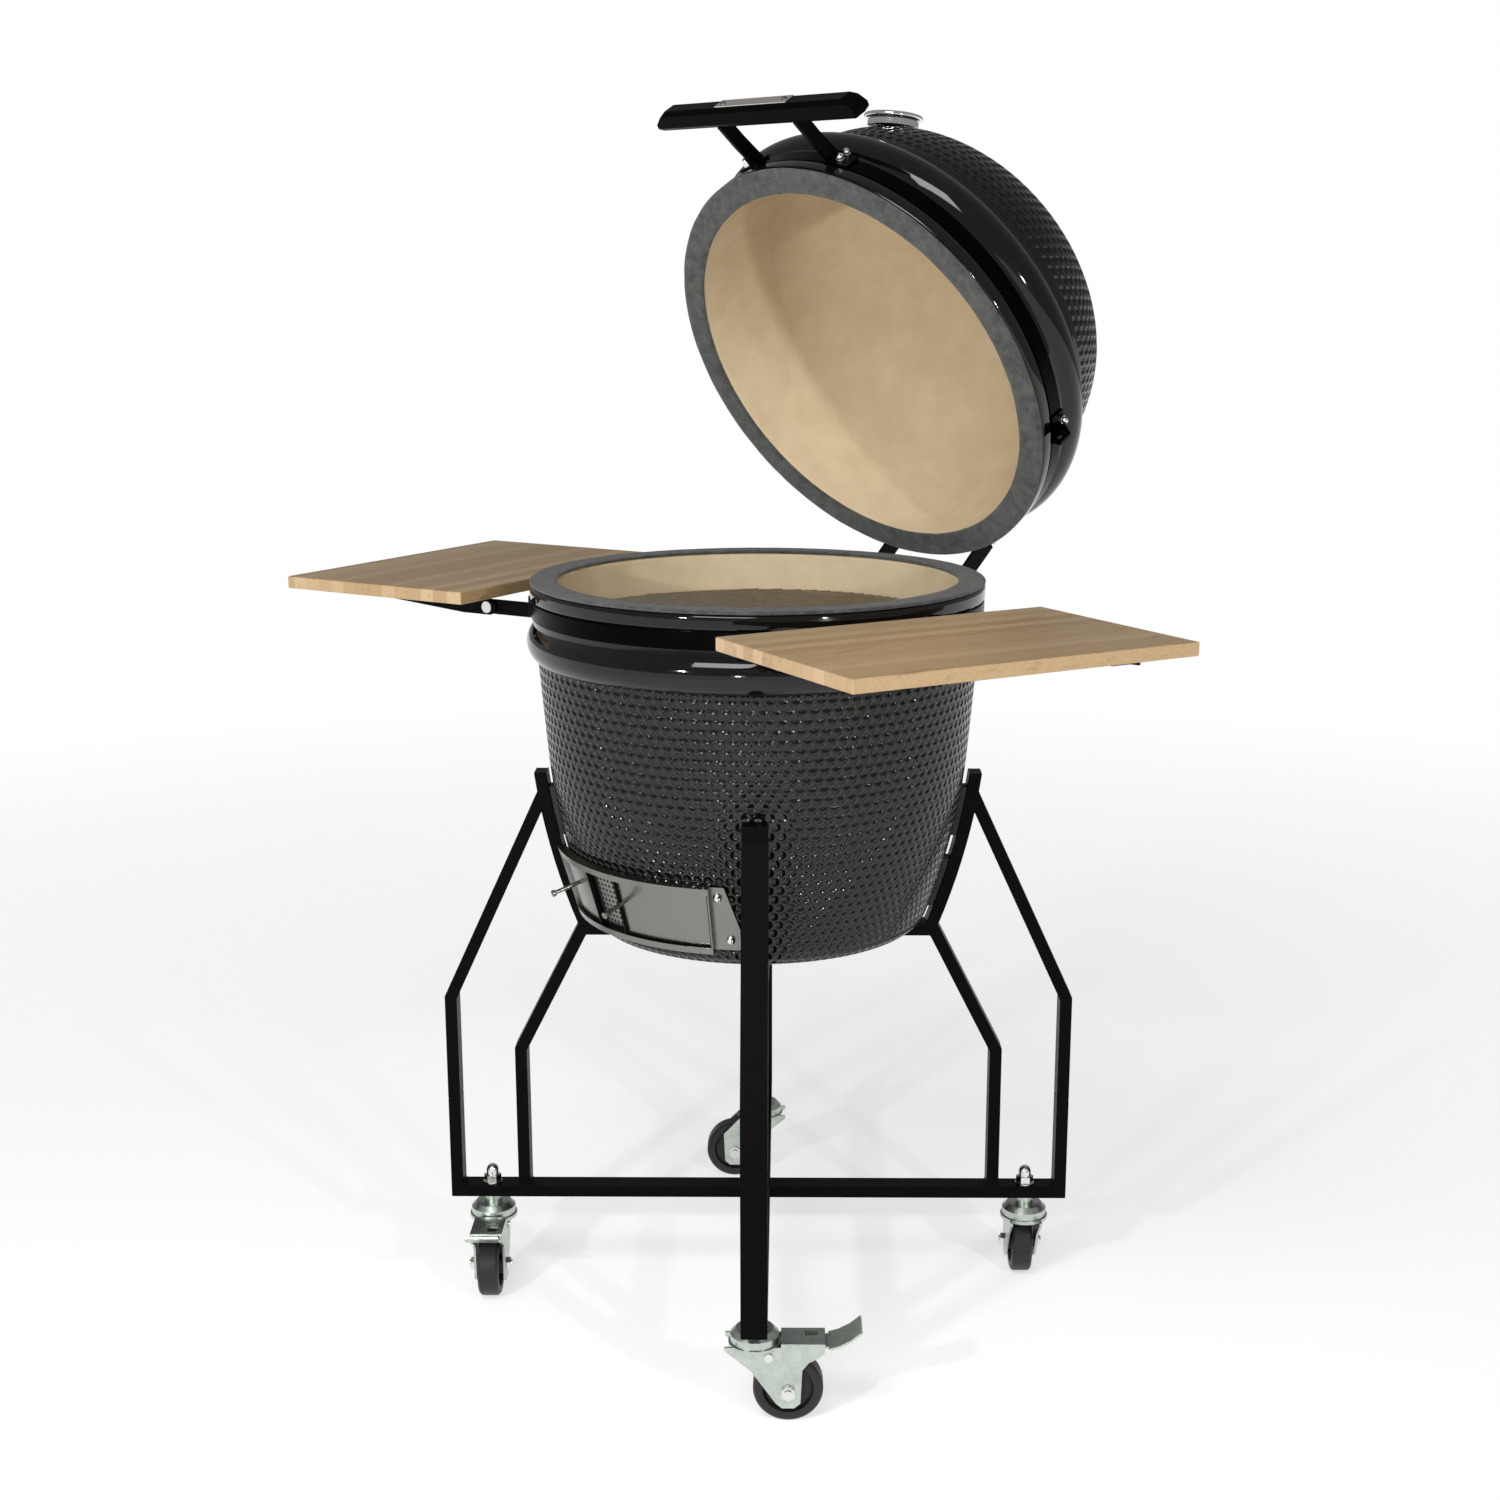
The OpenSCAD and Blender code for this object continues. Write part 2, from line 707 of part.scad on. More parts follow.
// Fixed clips on the bowl's band: a curved foot and an upright tongue beside each arm
module shelf_clips() {
    foot_z = rim_z - felt_t - groove_h - band_w + 4;
    foot_h = band_w + 4;
    color("#161616") for (s = [-1, 1]) at_shelf(s) for (v = [-arm_v, arm_v]) {
        tongue_v = v + arm_t / 2 + gap + clip_t / 2;
        foot_u = sqrt(pow(plate_r + plate_t / 2, 2) - pow(tongue_v, 2));
        foot_a = atan2(tongue_v, foot_u);
        difference() {
            translate([0, tongue_v, 0]) upright(clip_t) {
                polygon([[foot_u, shelf_pivot_z - 9], [foot_u, shelf_pivot_z + 9],
                         [shelf_u - 20, shelf_pivot_z + 9], [shelf_u, shelf_pivot_z + 9],
                         [shelf_u, shelf_pivot_z - 9]]);
                translate([shelf_u, shelf_pivot_z]) circle(r = 9);
            }
            translate([shelf_u, v - big / 2, shelf_pivot_z]) rotate([-90, 0, 0])
                cylinder(r = shelf_bolt_r + fit, h = big);
        }
        rotate([0, 0, foot_a - 4]) rotate_extrude(angle = 8)
            translate([plate_r, foot_z]) square([plate_t, foot_h]);
    }
}

module shelf_bolts() {
    reach = arm_t / 2 + gap;
    color("#d2d2d2") for (s = [-1, 1]) at_shelf(s) for (v = [-arm_v, arm_v])
        translate([shelf_u, v, shelf_pivot_z]) rotate([-90, 0, 0]) {
            translate([0, 0, -reach - 2]) cylinder(r = shelf_bolt_r, h = 2 * reach + clip_t + 5);
            translate([0, 0, reach + clip_t + gap]) hex(13, 5);
            translate([0, 0, -reach - 5]) cylinder(r = 7, h = 5);
        }
}

// ---------- lid ----------

module in_lid() {
    placed() translate([0, pivot_y, pivot_z]) rotate([-lid_open, 0, 0])
        translate([0, -pivot_y, -pivot_z]) children();
}

// Half outline of the dome above its side arc's centre, shrunk by d
module dome_cap(d) {
    intersection() {
        translate(dome_side_c) circle(r = dome_side_r - d, $fn = 360);
        polygon([dome_side_c, dome_side_c + [big, 0], dome_side_c + [big, big], dome_side_c + big * dome_joint]);
    }
    intersection() {
        translate(dome_top_c) circle(r = dome_top_r - d, $fn = 360);
        polygon([[0, dome_side_c[1]], dome_side_c, dome_side_c + big * dome_joint, [0, big]]);
    }
}

module lid_profile() {
    wall_r = dome_side_c[0] + dome_side_r;
    difference() {
        union() {
            dome_cap(0);
            translate([0, felt_t]) square([wall_r, dome_side_c[1] - felt_t]);
            translate([0, felt_t]) square([groove_r, bead_h]);
            translate([0, felt_t]) square([rim_r, lip_h]);
            translate([bead_out - bead_r, felt_t + bead_h]) circle(r = bead_r);
        }
        dome_cap(dome_t);
        polygon([[0, -eps], [cavity_r, -eps], [cavity_r, felt_t + 40],
                 [wall_r - dome_t, dome_side_c[1]], [0, dome_side_c[1]]]);
        translate([0, vent_flat]) square([big, big]);
        square([vent_hole_r, big]);
    }
}

module at_thermometer() {
    translate([0, -dome_side_c[0] - dome_side_r * cos(thermo_a),
               lid_z + dome_side_c[1] + dome_side_r * sin(thermo_a)])
        rotate([90 - thermo_a, 0, 0]) children();
}

module lid_dome() {
    color("#3a3a38") in_lid() difference() {
        translate([0, 0, lid_z]) rotate_extrude() lid_profile();
        at_thermometer() translate([0, 0, -60]) cylinder(r = 6, h = 70);
    }
}

module lid_gasket() {
    color("#5d5f59") in_lid() rotate_extrude()
        translate([cavity_r, lid_z]) square([rim_r - cavity_r, felt_t]);
}

// Lid strap with a small bracket at the right
module lid_band() {
    z0 = lid_z + felt_t + band_h;
    color("#111111") in_lid() {
        strap(z0);
        arc_part(104, 112) translate([strap_r - 0.5, z0 - 1]) square([plate_t, band_w + 2]);
        rotate([0, 0, 18]) upright(4) difference() {
            polygon([[strap_r - 0.5, z0], [strap_r - 0.5, z0 + 16], [strap_r + 8, z0 + 16],
                     [strap_r + 22, z0 + 6], [strap_r + 22, z0 - 16], [strap_r + 8, z0 - 16], [strap_r + 3, z0]]);
            translate([strap_r + 13, z0 - 10]) square([4, 10]);
        }
    }
}

module lid_band_nuts() {
    z0 = lid_z + felt_t + band_h;
    color("#d8d8d8") in_lid() {
        for (a = [-16, 16], h = [4, 16]) rotate([0, 0, a - 90])
            translate([plate_r + plate_t + 0.05, 0, z0 + h]) rotate([0, 90, 0]) cap_nut(9);
        rotate([0, 0, 16]) translate([strap_r + plate_t - 0.45, 0, z0 + 14]) rotate([0, 90, 0]) cap_nut(9);
        for (a = [-19, 19]) rotate([0, 0, a + 90])
            translate([plate_r + plate_t + 0.05, 0, z0 + 10]) rotate([0, 90, 0]) cap_nut(9);
    }
}

handle_y = -341;
handle_z = 922;
handle_x = 62;
bar_d = 24;
bar_h = 27;

module handle_arms() {
    z0 = lid_z + felt_t + band_h;
    arm_h = 18;
    back_y = handle_y + bar_d / 2;
    color("#161616") in_lid() difference() {
        union() {
            for (x0 = [handle_x - 2.5, -handle_x - 2.5]) sideways(x0, 5) difference() {
                polygon(ribbon([[handle_y, handle_z - 5], [-300, handle_z + 12], [-264, z0 + 10]], arm_h));
                translate([handle_y - bar_d, handle_z - 2 * arm_h]) square([back_y - handle_y + bar_d, 4 * arm_h]);
            }
            for (a = [11.5, -18.5]) arc_part(a, a + 7)
                translate([plate_r, z0 - 1.5]) square([plate_t, band_w + 3]);
        }
        translate([0, 0, z0 - arm_h]) cylinder(r = plate_r, h = 4 * arm_h);
    }
}

module handle_bar() {
    c = 5;
    e = 16;
    hx = handle_l / 2;
    color("#1a1a1a") in_lid() translate([0, handle_y, handle_z]) intersection() {
        sideways(-hx, handle_l) polygon([
            [-bar_d / 2, c - bar_h / 2], [c - bar_d / 2, -bar_h / 2], [bar_d / 2 - c, -bar_h / 2],
            [bar_d / 2, c - bar_h / 2], [bar_d / 2, bar_h / 2 - c], [bar_d / 2 - c, bar_h / 2],
            [c - bar_d / 2, bar_h / 2], [-bar_d / 2, bar_h / 2 - c]
        ]);
        linear_extrude(bar_h + 2, center = true) polygon([
            [-hx, bar_d / 2 - 4], [4 - hx, bar_d / 2], [hx - 4, bar_d / 2], [hx, bar_d / 2 - 4],
            [hx, 2], [hx - e, -bar_d / 2], [e - hx, -bar_d / 2], [-hx, 2]
        ]);
    }
}

// Blank plate where a maker would put a badge
module handle_plate() {
    color("#b9b3ab") in_lid() translate([0, handle_y - bar_d / 2 - 0.6, handle_z])
        cube([116, 1.2, 16], center = true);
}

module handle_screws() {
    color("#8f8f8f") in_lid() for (x = [-50, 50])
        translate([x, handle_y - bar_d / 2 - 1.2, handle_z]) rotate([90, 0, 0]) cylinder(r = 3.2, h = 1.5);
}

module thermometer_case() {
    color("#d6d6d6") in_lid() at_thermometer() {
        translate([0, 0, 0.4]) cylinder(r = thermo_r - 5, h = 7);
        translate([0, 0, -70]) cylinder(r = 4, h = 72);
        translate([0, 0, -dome_t - 6.6]) hex(17, 6);
    }
}

module thermometer_bezel() {
    color("#e2e2e2") in_lid() at_thermometer() translate([0, 0, 8]) rotate_extrude() {
        translate([thermo_r - 3.5, 3.5]) circle(r = 3.5, $fn = 32);
        translate([thermo_r - 9, 0]) square([6, 3.5]);
    }
}

module thermometer_dial() {
    color("#efefea") in_lid() at_thermometer() {
        translate([0, 0, 7.5]) cylinder(r = thermo_r - 10, h = 1.5);
        translate([0, 0, 9.5]) rotate([0, 0, 30]) translate([-1, -8, 0]) cube([2, 28, 0.8]);
        translate([0, 0, 9]) cylinder(r = 3, h = 1.6);
    }
}

module thermometer_glass() {
    color("#dfe8ea") in_lid() at_thermometer() translate([0, 0, 11.6]) cylinder(r = thermo_r - 7.2, h = 1.5);
}

// ---------- top vent ----------

vent_r = 60;
hole_ring = 28;
module vent_holes(h) {
    for (a = [0 : 90 : 270]) rotate([0, 0, a + 45]) translate([hole_ring, 0, -eps]) cylinder(r = 12, h = h);
    translate([0, 0, -eps]) cylinder(r = 4 + fit, h = h);
}

module vent_base() {
    color("#2b2b2b") in_lid() translate([0, 0, lid_z + vent_flat]) difference() {
        union() {
            translate([0, 0, 0.05]) cylinder(r = vent_r + 3, h = 7);
            translate([0, 0, -18]) cylinder(r = vent_hole_r - 0.3, h = 20);
        }
        translate([0, 0, -19]) cylinder(r = vent_hole_r - 4, h = 22);
        vent_holes(10);
    }
}

module vent_disc() {
    color("#333333") in_lid() translate([0, 0, lid_z + vent_flat + 7.35]) difference() {
        union() {
            cylinder(r = vent_r - 2, h = 3);
            translate([vent_r - 14, -4, 0]) cube([10, 8, 10]);
        }
        vent_holes(14);
    }
}

module vent_bolt() {
    color("#8c8c8c") in_lid() translate([0, 0, lid_z + vent_flat]) {
        translate([0, 0, 1]) cylinder(r = 4, h = 12);
        translate([0, 0, 10.65]) cylinder(r = 9, h = 5);
        hex(13, 2.9);
    }
}

// ---------- nodes ----------

base_cross();
leg_frame_a();
leg_frame_b();
post_sleeves();
cradle_pads();
caster_tops();
caster_cap_nuts();
fork(arm_angles[0], false);  // fork_rear_right
fork(arm_angles[1], false);  // fork_rear_left
fork(arm_angles[2], true);  // fork_front_left
fork(arm_angles[3], true);  // fork_front_right
wheel(arm_angles[0]);  // wheel_rear_right
wheel(arm_angles[1]);  // wheel_rear_left
wheel(arm_angles[2]);  // wheel_front_left
wheel(arm_angles[3]);  // wheel_front_right
axle(arm_angles[0], false);  // axle_rear_right
axle(arm_angles[1], false);  // axle_rear_left
axle(arm_angles[2], true);  // axle_front_left
axle(arm_angles[3], true);  // axle_front_right
brake_pedal(arm_angles[2]);  // brake_pedal_front_left
brake_pedal(arm_angles[3]);  // brake_pedal_front_right
bowl();
bowl_gasket();
bowl_band();
draft_frame();
draft_screen();
draft_bolts();
draft_door(door_left, -19, door_left[1] - 0.4);  // draft_door_left
draft_door(door_right, 5, door_right[0]);  // draft_door_right
firebox();
fire_ring();
charcoal_grate();
cooking_grid();
hinge_lower();
hinge_upper();
hinge_pin();
hinge_springs();
shelf_board(-1);  // shelf_board_left
shelf_board(1);  // shelf_board_right
shelf_arms(-1);  // shelf_arms_left
shelf_arms(1);  // shelf_arms_right
shelf_screws(-1);  // shelf_screws_left
shelf_screws(1);  // shelf_screws_right
shelf_clips();
shelf_bolts();
lid_dome();
lid_gasket();
lid_band();
lid_band_nuts();
handle_arms();
handle_bar();
handle_plate();
handle_screws();
thermometer_case();
thermometer_bezel();
thermometer_dial();
thermometer_glass();
vent_base();
vent_disc();
vent_bolt();
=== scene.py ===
"""Looks of a kamado ceramic grill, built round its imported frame. Metres, +Z up, the front is -Y."""

import json
import math

import bpy
import numpy as np
from mathutils import Matrix, Vector


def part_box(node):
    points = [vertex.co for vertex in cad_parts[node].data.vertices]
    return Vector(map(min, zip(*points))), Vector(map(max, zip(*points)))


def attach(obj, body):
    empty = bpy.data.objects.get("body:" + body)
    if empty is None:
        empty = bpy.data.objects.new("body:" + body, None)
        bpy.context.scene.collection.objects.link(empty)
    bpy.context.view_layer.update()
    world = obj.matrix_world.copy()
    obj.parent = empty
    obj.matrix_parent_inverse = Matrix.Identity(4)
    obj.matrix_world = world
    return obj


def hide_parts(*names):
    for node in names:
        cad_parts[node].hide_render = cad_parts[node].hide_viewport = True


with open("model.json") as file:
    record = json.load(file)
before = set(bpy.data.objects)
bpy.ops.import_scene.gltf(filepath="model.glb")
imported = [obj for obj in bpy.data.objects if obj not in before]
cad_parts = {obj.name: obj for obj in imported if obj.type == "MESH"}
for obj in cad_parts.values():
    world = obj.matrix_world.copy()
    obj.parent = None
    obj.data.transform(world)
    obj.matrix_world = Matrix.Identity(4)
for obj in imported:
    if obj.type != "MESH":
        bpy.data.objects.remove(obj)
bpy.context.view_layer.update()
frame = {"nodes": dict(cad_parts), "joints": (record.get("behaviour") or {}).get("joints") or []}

MM = 0.001


# ---------- where things are, from the frame ----------

BEAD_PROUD = 5 * MM  # how far the bead stands out past the rim
RIM_WIDTH = 32 * MM
FELT_GAP = 0.3 * MM  # between the two felts when the lid is closed

bowl_low, bowl_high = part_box("bowl")
AXIS_Y = (bowl_low.y + bowl_high.y) / 2
BOWL_TOP = bowl_high.z
BOWL_BOTTOM = bowl_low.z
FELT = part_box("bowl_gasket")[1].z - BOWL_TOP
BEAD_OUT = bowl_high.x
RIM_R = BEAD_OUT - BEAD_PROUD
CAVITY_R = RIM_R - RIM_WIDTH
RIM_Z = BOWL_TOP + FELT

LID_JOINT = next(j for j in frame["joints"] if j["name"] == "lid_hinge")
PIVOT = Vector(LID_JOINT["pos_m"])
LID_OPEN = math.radians(max(LID_JOINT["range_deg"]))
LID_Z = RIM_Z + FELT_GAP


def in_lid():
    """Matrix from the closed lid, with its axis at x = y = 0 and its rim at z = 0, to the open one."""
    closed = Matrix.Translation((0, AXIS_Y, LID_Z))
    turn = Matrix.Rotation(-LID_OPEN, 4, "X")
    return Matrix.Translation(PIVOT) @ turn @ Matrix.Translation(-PIVOT) @ closed


# ---------- mesh helpers ----------


def arc(centre, radius, start, end, steps):
    """Points of an arc, angles in degrees from +X."""
    angles = [math.radians(start + (end - start) * i / steps) for i in range(steps + 1)]
    return [(centre[0] + radius * math.cos(a), centre[1] + radius * math.sin(a)) for a in angles]


def line(start, end, steps):
    """Points along a line, its two ends included."""
    return [
        (start[0] + (end[0] - start[0]) * i / steps, start[1] + (end[1] - start[1]) * i / steps)
        for i in range(steps + 1)
    ]


SAME_POINT = 0.001 * MM


def joined(*runs):
    """One outline from several runs of points, without doubled points."""
    points = []
    for run in runs:
        for p in run:
            if not points or math.dist(p, points[-1]) > SAME_POINT:
                points.append(p)
    return points


def add_piece(
    name, vertices, faces, materials, place, face_slots=None, pit_map=None, smooth_angle=35
):
    """A mesh object with its materials, shaded smooth up to the given angle. place is a matrix
    that is worked into the vertices, so that the object itself stays at the origin. pit_map gives
    each face corner its place in the lattice of pits."""
    turned = vertices @ np.array(place.to_3x3()).T + np.array(place.translation)
    mesh = bpy.data.meshes.new(name)
    mesh.from_pydata(turned.tolist(), [], faces)
    for m in materials:
        mesh.materials.append(m)
    if face_slots is not None:
        mesh.polygons.foreach_set("material_index", face_slots)
    if pit_map is not None:
        mesh.uv_layers.new(name="pits").data.foreach_set("uv", pit_map.ravel())
    mesh.polygons.foreach_set("use_smooth", [True] * len(mesh.polygons))
    mesh.set_sharp_from_angle(angle=math.radians(smooth_angle))
    mesh.update()
    piece = bpy.data.objects.new(name, mesh)
    bpy.context.scene.collection.objects.link(piece)
    return piece


def revolve(radius, height, columns, capped=False):
    """Vertices and faces of an outline turned round Z. radius and height are (rows, columns) arrays.
    A capped outline starts and ends beside the axis and gets a fan there; any other one is closed."""
    rows = radius.shape[0]
    angle = np.arange(columns) * 2 * math.pi / columns
    x = radius * np.cos(angle)
    y = radius * np.sin(angle)
    vertices = np.stack([x, y, height], axis=-1).reshape(-1, 3)
    faces = []
    for i in range(rows - 1 if capped else rows):
        k = (i + 1) % rows
        for j in range(columns):
            n = (j + 1) % columns
            faces.append((i * columns + j, i * columns + n, k * columns + n, k * columns + j))
    if capped:
        last = (rows - 1) * columns
        hubs = [(0, 0, height[0].mean()), (0, 0, height[-1].mean())]
        vertices = np.concatenate([vertices, hubs])
        for j in range(columns):
            n = (j + 1) % columns
            faces.append((rows * columns, n, j))
            faces.append((rows * columns + 1, last + j, last + n))
    return vertices, faces


# ---------- material helpers ----------

# places of the colour sockets on a mix node
MIX_FACTOR, MIX_COLOUR_A, MIX_COLOUR_B = 0, 6, 7
MIX_COLOUR_OUT = 2


class Nodes:
    """Short names for building one material's node tree."""

    def __init__(self, name):
        self.material = bpy.data.materials.new(name)
        self.material.use_nodes = True
        self.tree = self.material.node_tree
        self.shader = self.tree.nodes["Principled BSDF"]
        self.place = self.tree.nodes.new("ShaderNodeTexCoord").outputs["Object"]

    def link(self, out, socket):
        self.tree.links.new(out, socket)

    def set(self, **values):
        """Sets the shader's inputs, named with underscores for spaces."""
        for key, value in values.items():
            self.shader.inputs[key.replace("_", " ")].default_value = value

    def mapped(self, scale=(1, 1, 1), turn=(0, 0, 0)):
        """The object's own coordinates, turned and scaled."""
        node = self.tree.nodes.new("ShaderNodeMapping")
        node.inputs["Scale"].default_value = scale
        node.inputs["Rotation"].default_value = turn
        self.link(self.place, node.inputs["Vector"])
        return node.outputs["Vector"]

    def noise(self, scale, detail=3, rough=0.5, place=None):
        """Noise with a number of features to the metre, octaves of detail and their roughness."""
        node = self.tree.nodes.new("ShaderNodeTexNoise")
        node.inputs["Scale"].default_value = scale
        node.inputs["Detail"].default_value = detail
        node.inputs["Roughness"].default_value = rough
        self.link(place or self.place, node.inputs["Vector"])
        return node.outputs["Fac"]

    def cells(self, scale):
        """Distance from the nearest of a scatter of points, for specks."""
        node = self.tree.nodes.new("ShaderNodeTexVoronoi")
        node.inputs["Scale"].default_value = scale
        self.link(self.place, node.inputs["Vector"])
        return node.outputs["Distance"]

    def ramp(self, value, *stops):
        """Maps a value to colours; each stop is (position, colour or grey level)."""
        node = self.tree.nodes.new("ShaderNodeValToRGB")
        while len(node.color_ramp.elements) < len(stops):
            node.color_ramp.elements.new(0.5)
        for element, (position, colour) in zip(node.color_ramp.elements, stops):
            element.position = position
            grey = isinstance(colour, (int, float))
            element.color = (colour, colour, colour, 1) if grey else (*colour, 1)
        self.link(value, node.inputs["Fac"])
        return node.outputs["Color"]

    def mix(self, kind, a, b, amount=1.0):
        node = self.tree.nodes.new("ShaderNodeMix")
        node.data_type = "RGBA"
        node.blend_type = kind
        self.give(amount, node.inputs[MIX_FACTOR])
        self.give(a, node.inputs[MIX_COLOUR_A])
        self.give(b, node.inputs[MIX_COLOUR_B])
        return node.outputs[MIX_COLOUR_OUT]

    def math(self, kind, a, b=0.0):
        node = self.tree.nodes.new("ShaderNodeMath")
        node.operation = kind
        self.give(a, node.inputs[0])
        self.give(b, node.inputs[1])
        return node.outputs[0]

    def from_whole(self, value):
        """Distance of a value from the nearest whole number, with its sign."""
        return self.math("SUBTRACT", self.math("FRACT", self.math("ADD", value, 0.5)), 0.5)

    def give(self, value, socket):
        """Feeds a socket from another socket, a colour or a number."""
        if isinstance(value, bpy.types.NodeSocket):
            self.link(value, socket)
        elif isinstance(value, tuple):
            socket.default_value = (*value, 1)
        else:
            socket.default_value = value

    def split(self, place=None):
        node = self.tree.nodes.new("ShaderNodeSeparateXYZ")
        self.link(place or self.place, node.inputs["Vector"])
        return node.outputs

    def bump(self, height, distance, strength=1.0):
        """Relief from a height of 0 to 1, which distance turns into metres."""
        node = self.tree.nodes.new("ShaderNodeBump")
        node.inputs["Strength"].default_value = strength
        node.inputs["Distance"].default_value = distance
        self.link(height, node.inputs["Height"])
        self.link(node.outputs["Normal"], self.shader.inputs["Normal"])

    def colour(self, out):
        self.link(out, self.shader.inputs["Base Color"])

    def rough(self, out):
        self.link(out, self.shader.inputs["Roughness"])


# ---------- the glaze's pits ----------

BOWL_DIMPLES = 118  # pits in each row round the bowl
COLUMNS = 4 * BOWL_DIMPLES  # columns of faces round the bowl and the lid
PITCH = 13.6 * MM  # between pits in a row
ROW_PITCH = 11.4 * MM  # between rows
PIT_DEPTH = 1.3 * MM
PIT_R = 5.7 * MM
PIT_BUMP = 1.7 * MM  # depth of the finer shape, which the material adds


# ---------- materials ----------

BAMBOO_STRIP = 20 * MM


def glaze_material():
    """Near-black gloss glaze with a faint mottle. The pits' finer shape comes from the pit map, where
    each pit's middle is at whole numbers."""
    n = Nodes("glaze")
    mottle = n.noise(90, 5, 0.65)
    n.colour(n.ramp(mottle, (0.3, (0.0018, 0.0018, 0.0015)), (0.7, (0.0040, 0.0039, 0.0034))))
    n.rough(n.ramp(n.noise(260, 2), (0.35, 0.045), (0.7, 0.075)))
    lattice = n.tree.nodes.new("ShaderNodeUVMap")
    lattice.uv_map = "pits"
    place = n.split(lattice.outputs["UV"])
    squares = [
        n.math("POWER", n.math("MULTIPLY", n.from_whole(place[axis]), reach), 2)
        for axis, reach in (("X", PITCH / PIT_R), ("Y", ROW_PITCH / PIT_R))
    ]
    hollow = n.math("MINIMUM", n.math("ADD", squares[0], squares[1]), 1.0)
    n.bump(hollow, PIT_BUMP)
    n.set(IOR=1.5, Specular_IOR_Level=0.42)
    return n.material


def clay_material():
    """Cream unglazed ceramic, finely speckled."""
    n = Nodes("clay")
    base = n.ramp(n.noise(26, 4, 0.6), (0.3, (0.56, 0.445, 0.285)), (0.7, (0.64, 0.52, 0.345)))
    specks = n.ramp(n.cells(330), (0.06, 0.62), (0.2, 1.0))
    specked_parts = n.ramp(n.noise(55, 2), (0.48, 0.0), (0.62, 0.75))
    n.colour(n.mix("MULTIPLY", base, specks, specked_parts))
    n.rough(n.ramp(n.noise(120, 2), (0.3, 0.55), (0.7, 0.75)))
    n.bump(n.noise(700, 3, 0.7), 0.3 * MM, strength=0.6)
    return n.material


def felt_material():
    """Mottled grey felt."""
    n = Nodes("felt")
    patches = n.ramp(
        n.noise(75, 6, 0.72),
        (0.32, (0.032, 0.034, 0.031)),
        (0.52, (0.078, 0.081, 0.076)),
        (0.72, (0.125, 0.128, 0.118)),
    )
    fibres = n.ramp(n.noise(1400, 3, 0.8), (0.3, 0.6), (0.75, 1.25))
    n.colour(n.mix("MULTIPLY", patches, fibres))
    n.rough(n.ramp(n.noise(900, 2), (0.2, 0.88), (0.8, 1.0)))
    n.bump(n.noise(1100, 5, 0.8), 1.2 * MM, strength=0.9)
    n.set(Sheen_Weight=0.25, Sheen_Roughness=0.5, Specular_IOR_Level=0.15)
    return n.material


def coat_material(name, base, low, high, specular):
    """Black powder coat: a fine orange peel over a dark base. low and high bound its roughness."""
    n = Nodes(name)
    n.colour(n.ramp(n.noise(160, 4), (0.3, base * 0.7), (0.7, base * 1.3)))
    n.rough(n.ramp(n.noise(380, 3), (0.3, low), (0.7, high)))
    n.bump(n.noise(1500, 2), 0.12 * MM, strength=0.5)
    n.set(Specular_IOR_Level=specular)
    return n.material


def metal_material(name, colour, low, high, grain=(1, 1, 1), spots=0.0):
    """Metal with fine grain, its roughness from low to high. spots adds the clouds of zinc plating."""
    n = Nodes(name)
    cloud = tuple(c * (1 - spots) for c in colour)
    n.colour(n.ramp(n.noise(70, 5, 0.7), (0.3, cloud), (0.7, colour)))
    n.rough(n.ramp(n.noise(240, 4, 0.6, n.mapped(grain)), (0.3, low), (0.7, high)))
    n.bump(n.noise(900, 3, 0.6, n.mapped(grain)), 0.04 * MM, strength=0.6)
    n.set(Metallic=1.0)
    return n.material


def rubber_material(name, colour, rough):
    """Dull dark rubber, plastic or cast iron."""
    n = Nodes(name)
    worn = tuple(c * 0.7 for c in colour)
    n.colour(n.ramp(n.noise(140, 5, 0.7), (0.3, worn), (0.75, colour)))
    n.rough(n.ramp(n.noise(300, 3), (0.3, rough - 0.08), (0.7, rough + 0.08)))
    n.bump(n.noise(1300, 3), 0.2 * MM, strength=0.5)
    n.set(Specular_IOR_Level=0.35)
    return n.material


def bamboo_material(name, turn):
    """Lacquered bamboo: glued strips along the board, fine fibres and darker knots."""
    n = Nodes(name)
    turned = (0, 0, turn)
    place = n.split(n.mapped(turn=turned))
    strips_across = n.math("DIVIDE", place["X"], BAMBOO_STRIP)
    strip = n.math("FLOOR", strips_across)
    tone_node = n.tree.nodes.new("ShaderNodeTexWhiteNoise")
    tone_node.noise_dimensions = "1D"
    n.link(strip, tone_node.inputs["W"])
    tone = tone_node.outputs["Value"]
    base = n.ramp(
        tone,
        (0.0, (0.43, 0.285, 0.145)),
        (0.5, (0.50, 0.345, 0.19)),
        (1.0, (0.56, 0.40, 0.235)),
    )
    stretched = n.mapped((90, 4, 90), turned)
    fibres = n.ramp(n.noise(9, 6, 0.65, stretched), (0.3, 0.80), (0.7, 1.08))
    grained = n.mix("MULTIPLY", base, fibres)
    knot_place = n.mapped((30, 3.4, 30), turned)
    knots = n.ramp(n.noise(5, 3, 0.5, knot_place), (0.60, 0.0), (0.72, 0.5))
    knotty = n.mix("MIX", grained, (0.24, 0.135, 0.06), knots)
    joint = n.ramp(n.math("FRACT", strips_across), (0.0, 0.62), (0.035, 1.0))
    n.colour(n.mix("MULTIPLY", knotty, joint, 0.55))
    n.rough(n.ramp(n.noise(40, 4, 0.6, stretched), (0.3, 0.34), (0.7, 0.5)))
    n.bump(n.noise(60, 4, 0.6, stretched), 0.1 * MM, strength=0.5)
    n.set(Specular_IOR_Level=0.5)
    return n.material


def dial_material():
    """Plain white dial."""
    n = Nodes("dial")
    n.colour(n.ramp(n.noise(200, 2), (0.3, 0.72), (0.7, 0.8)))
    n.rough(n.ramp(n.noise(200, 2), (0.3, 0.4), (0.7, 0.5)))
    return n.material


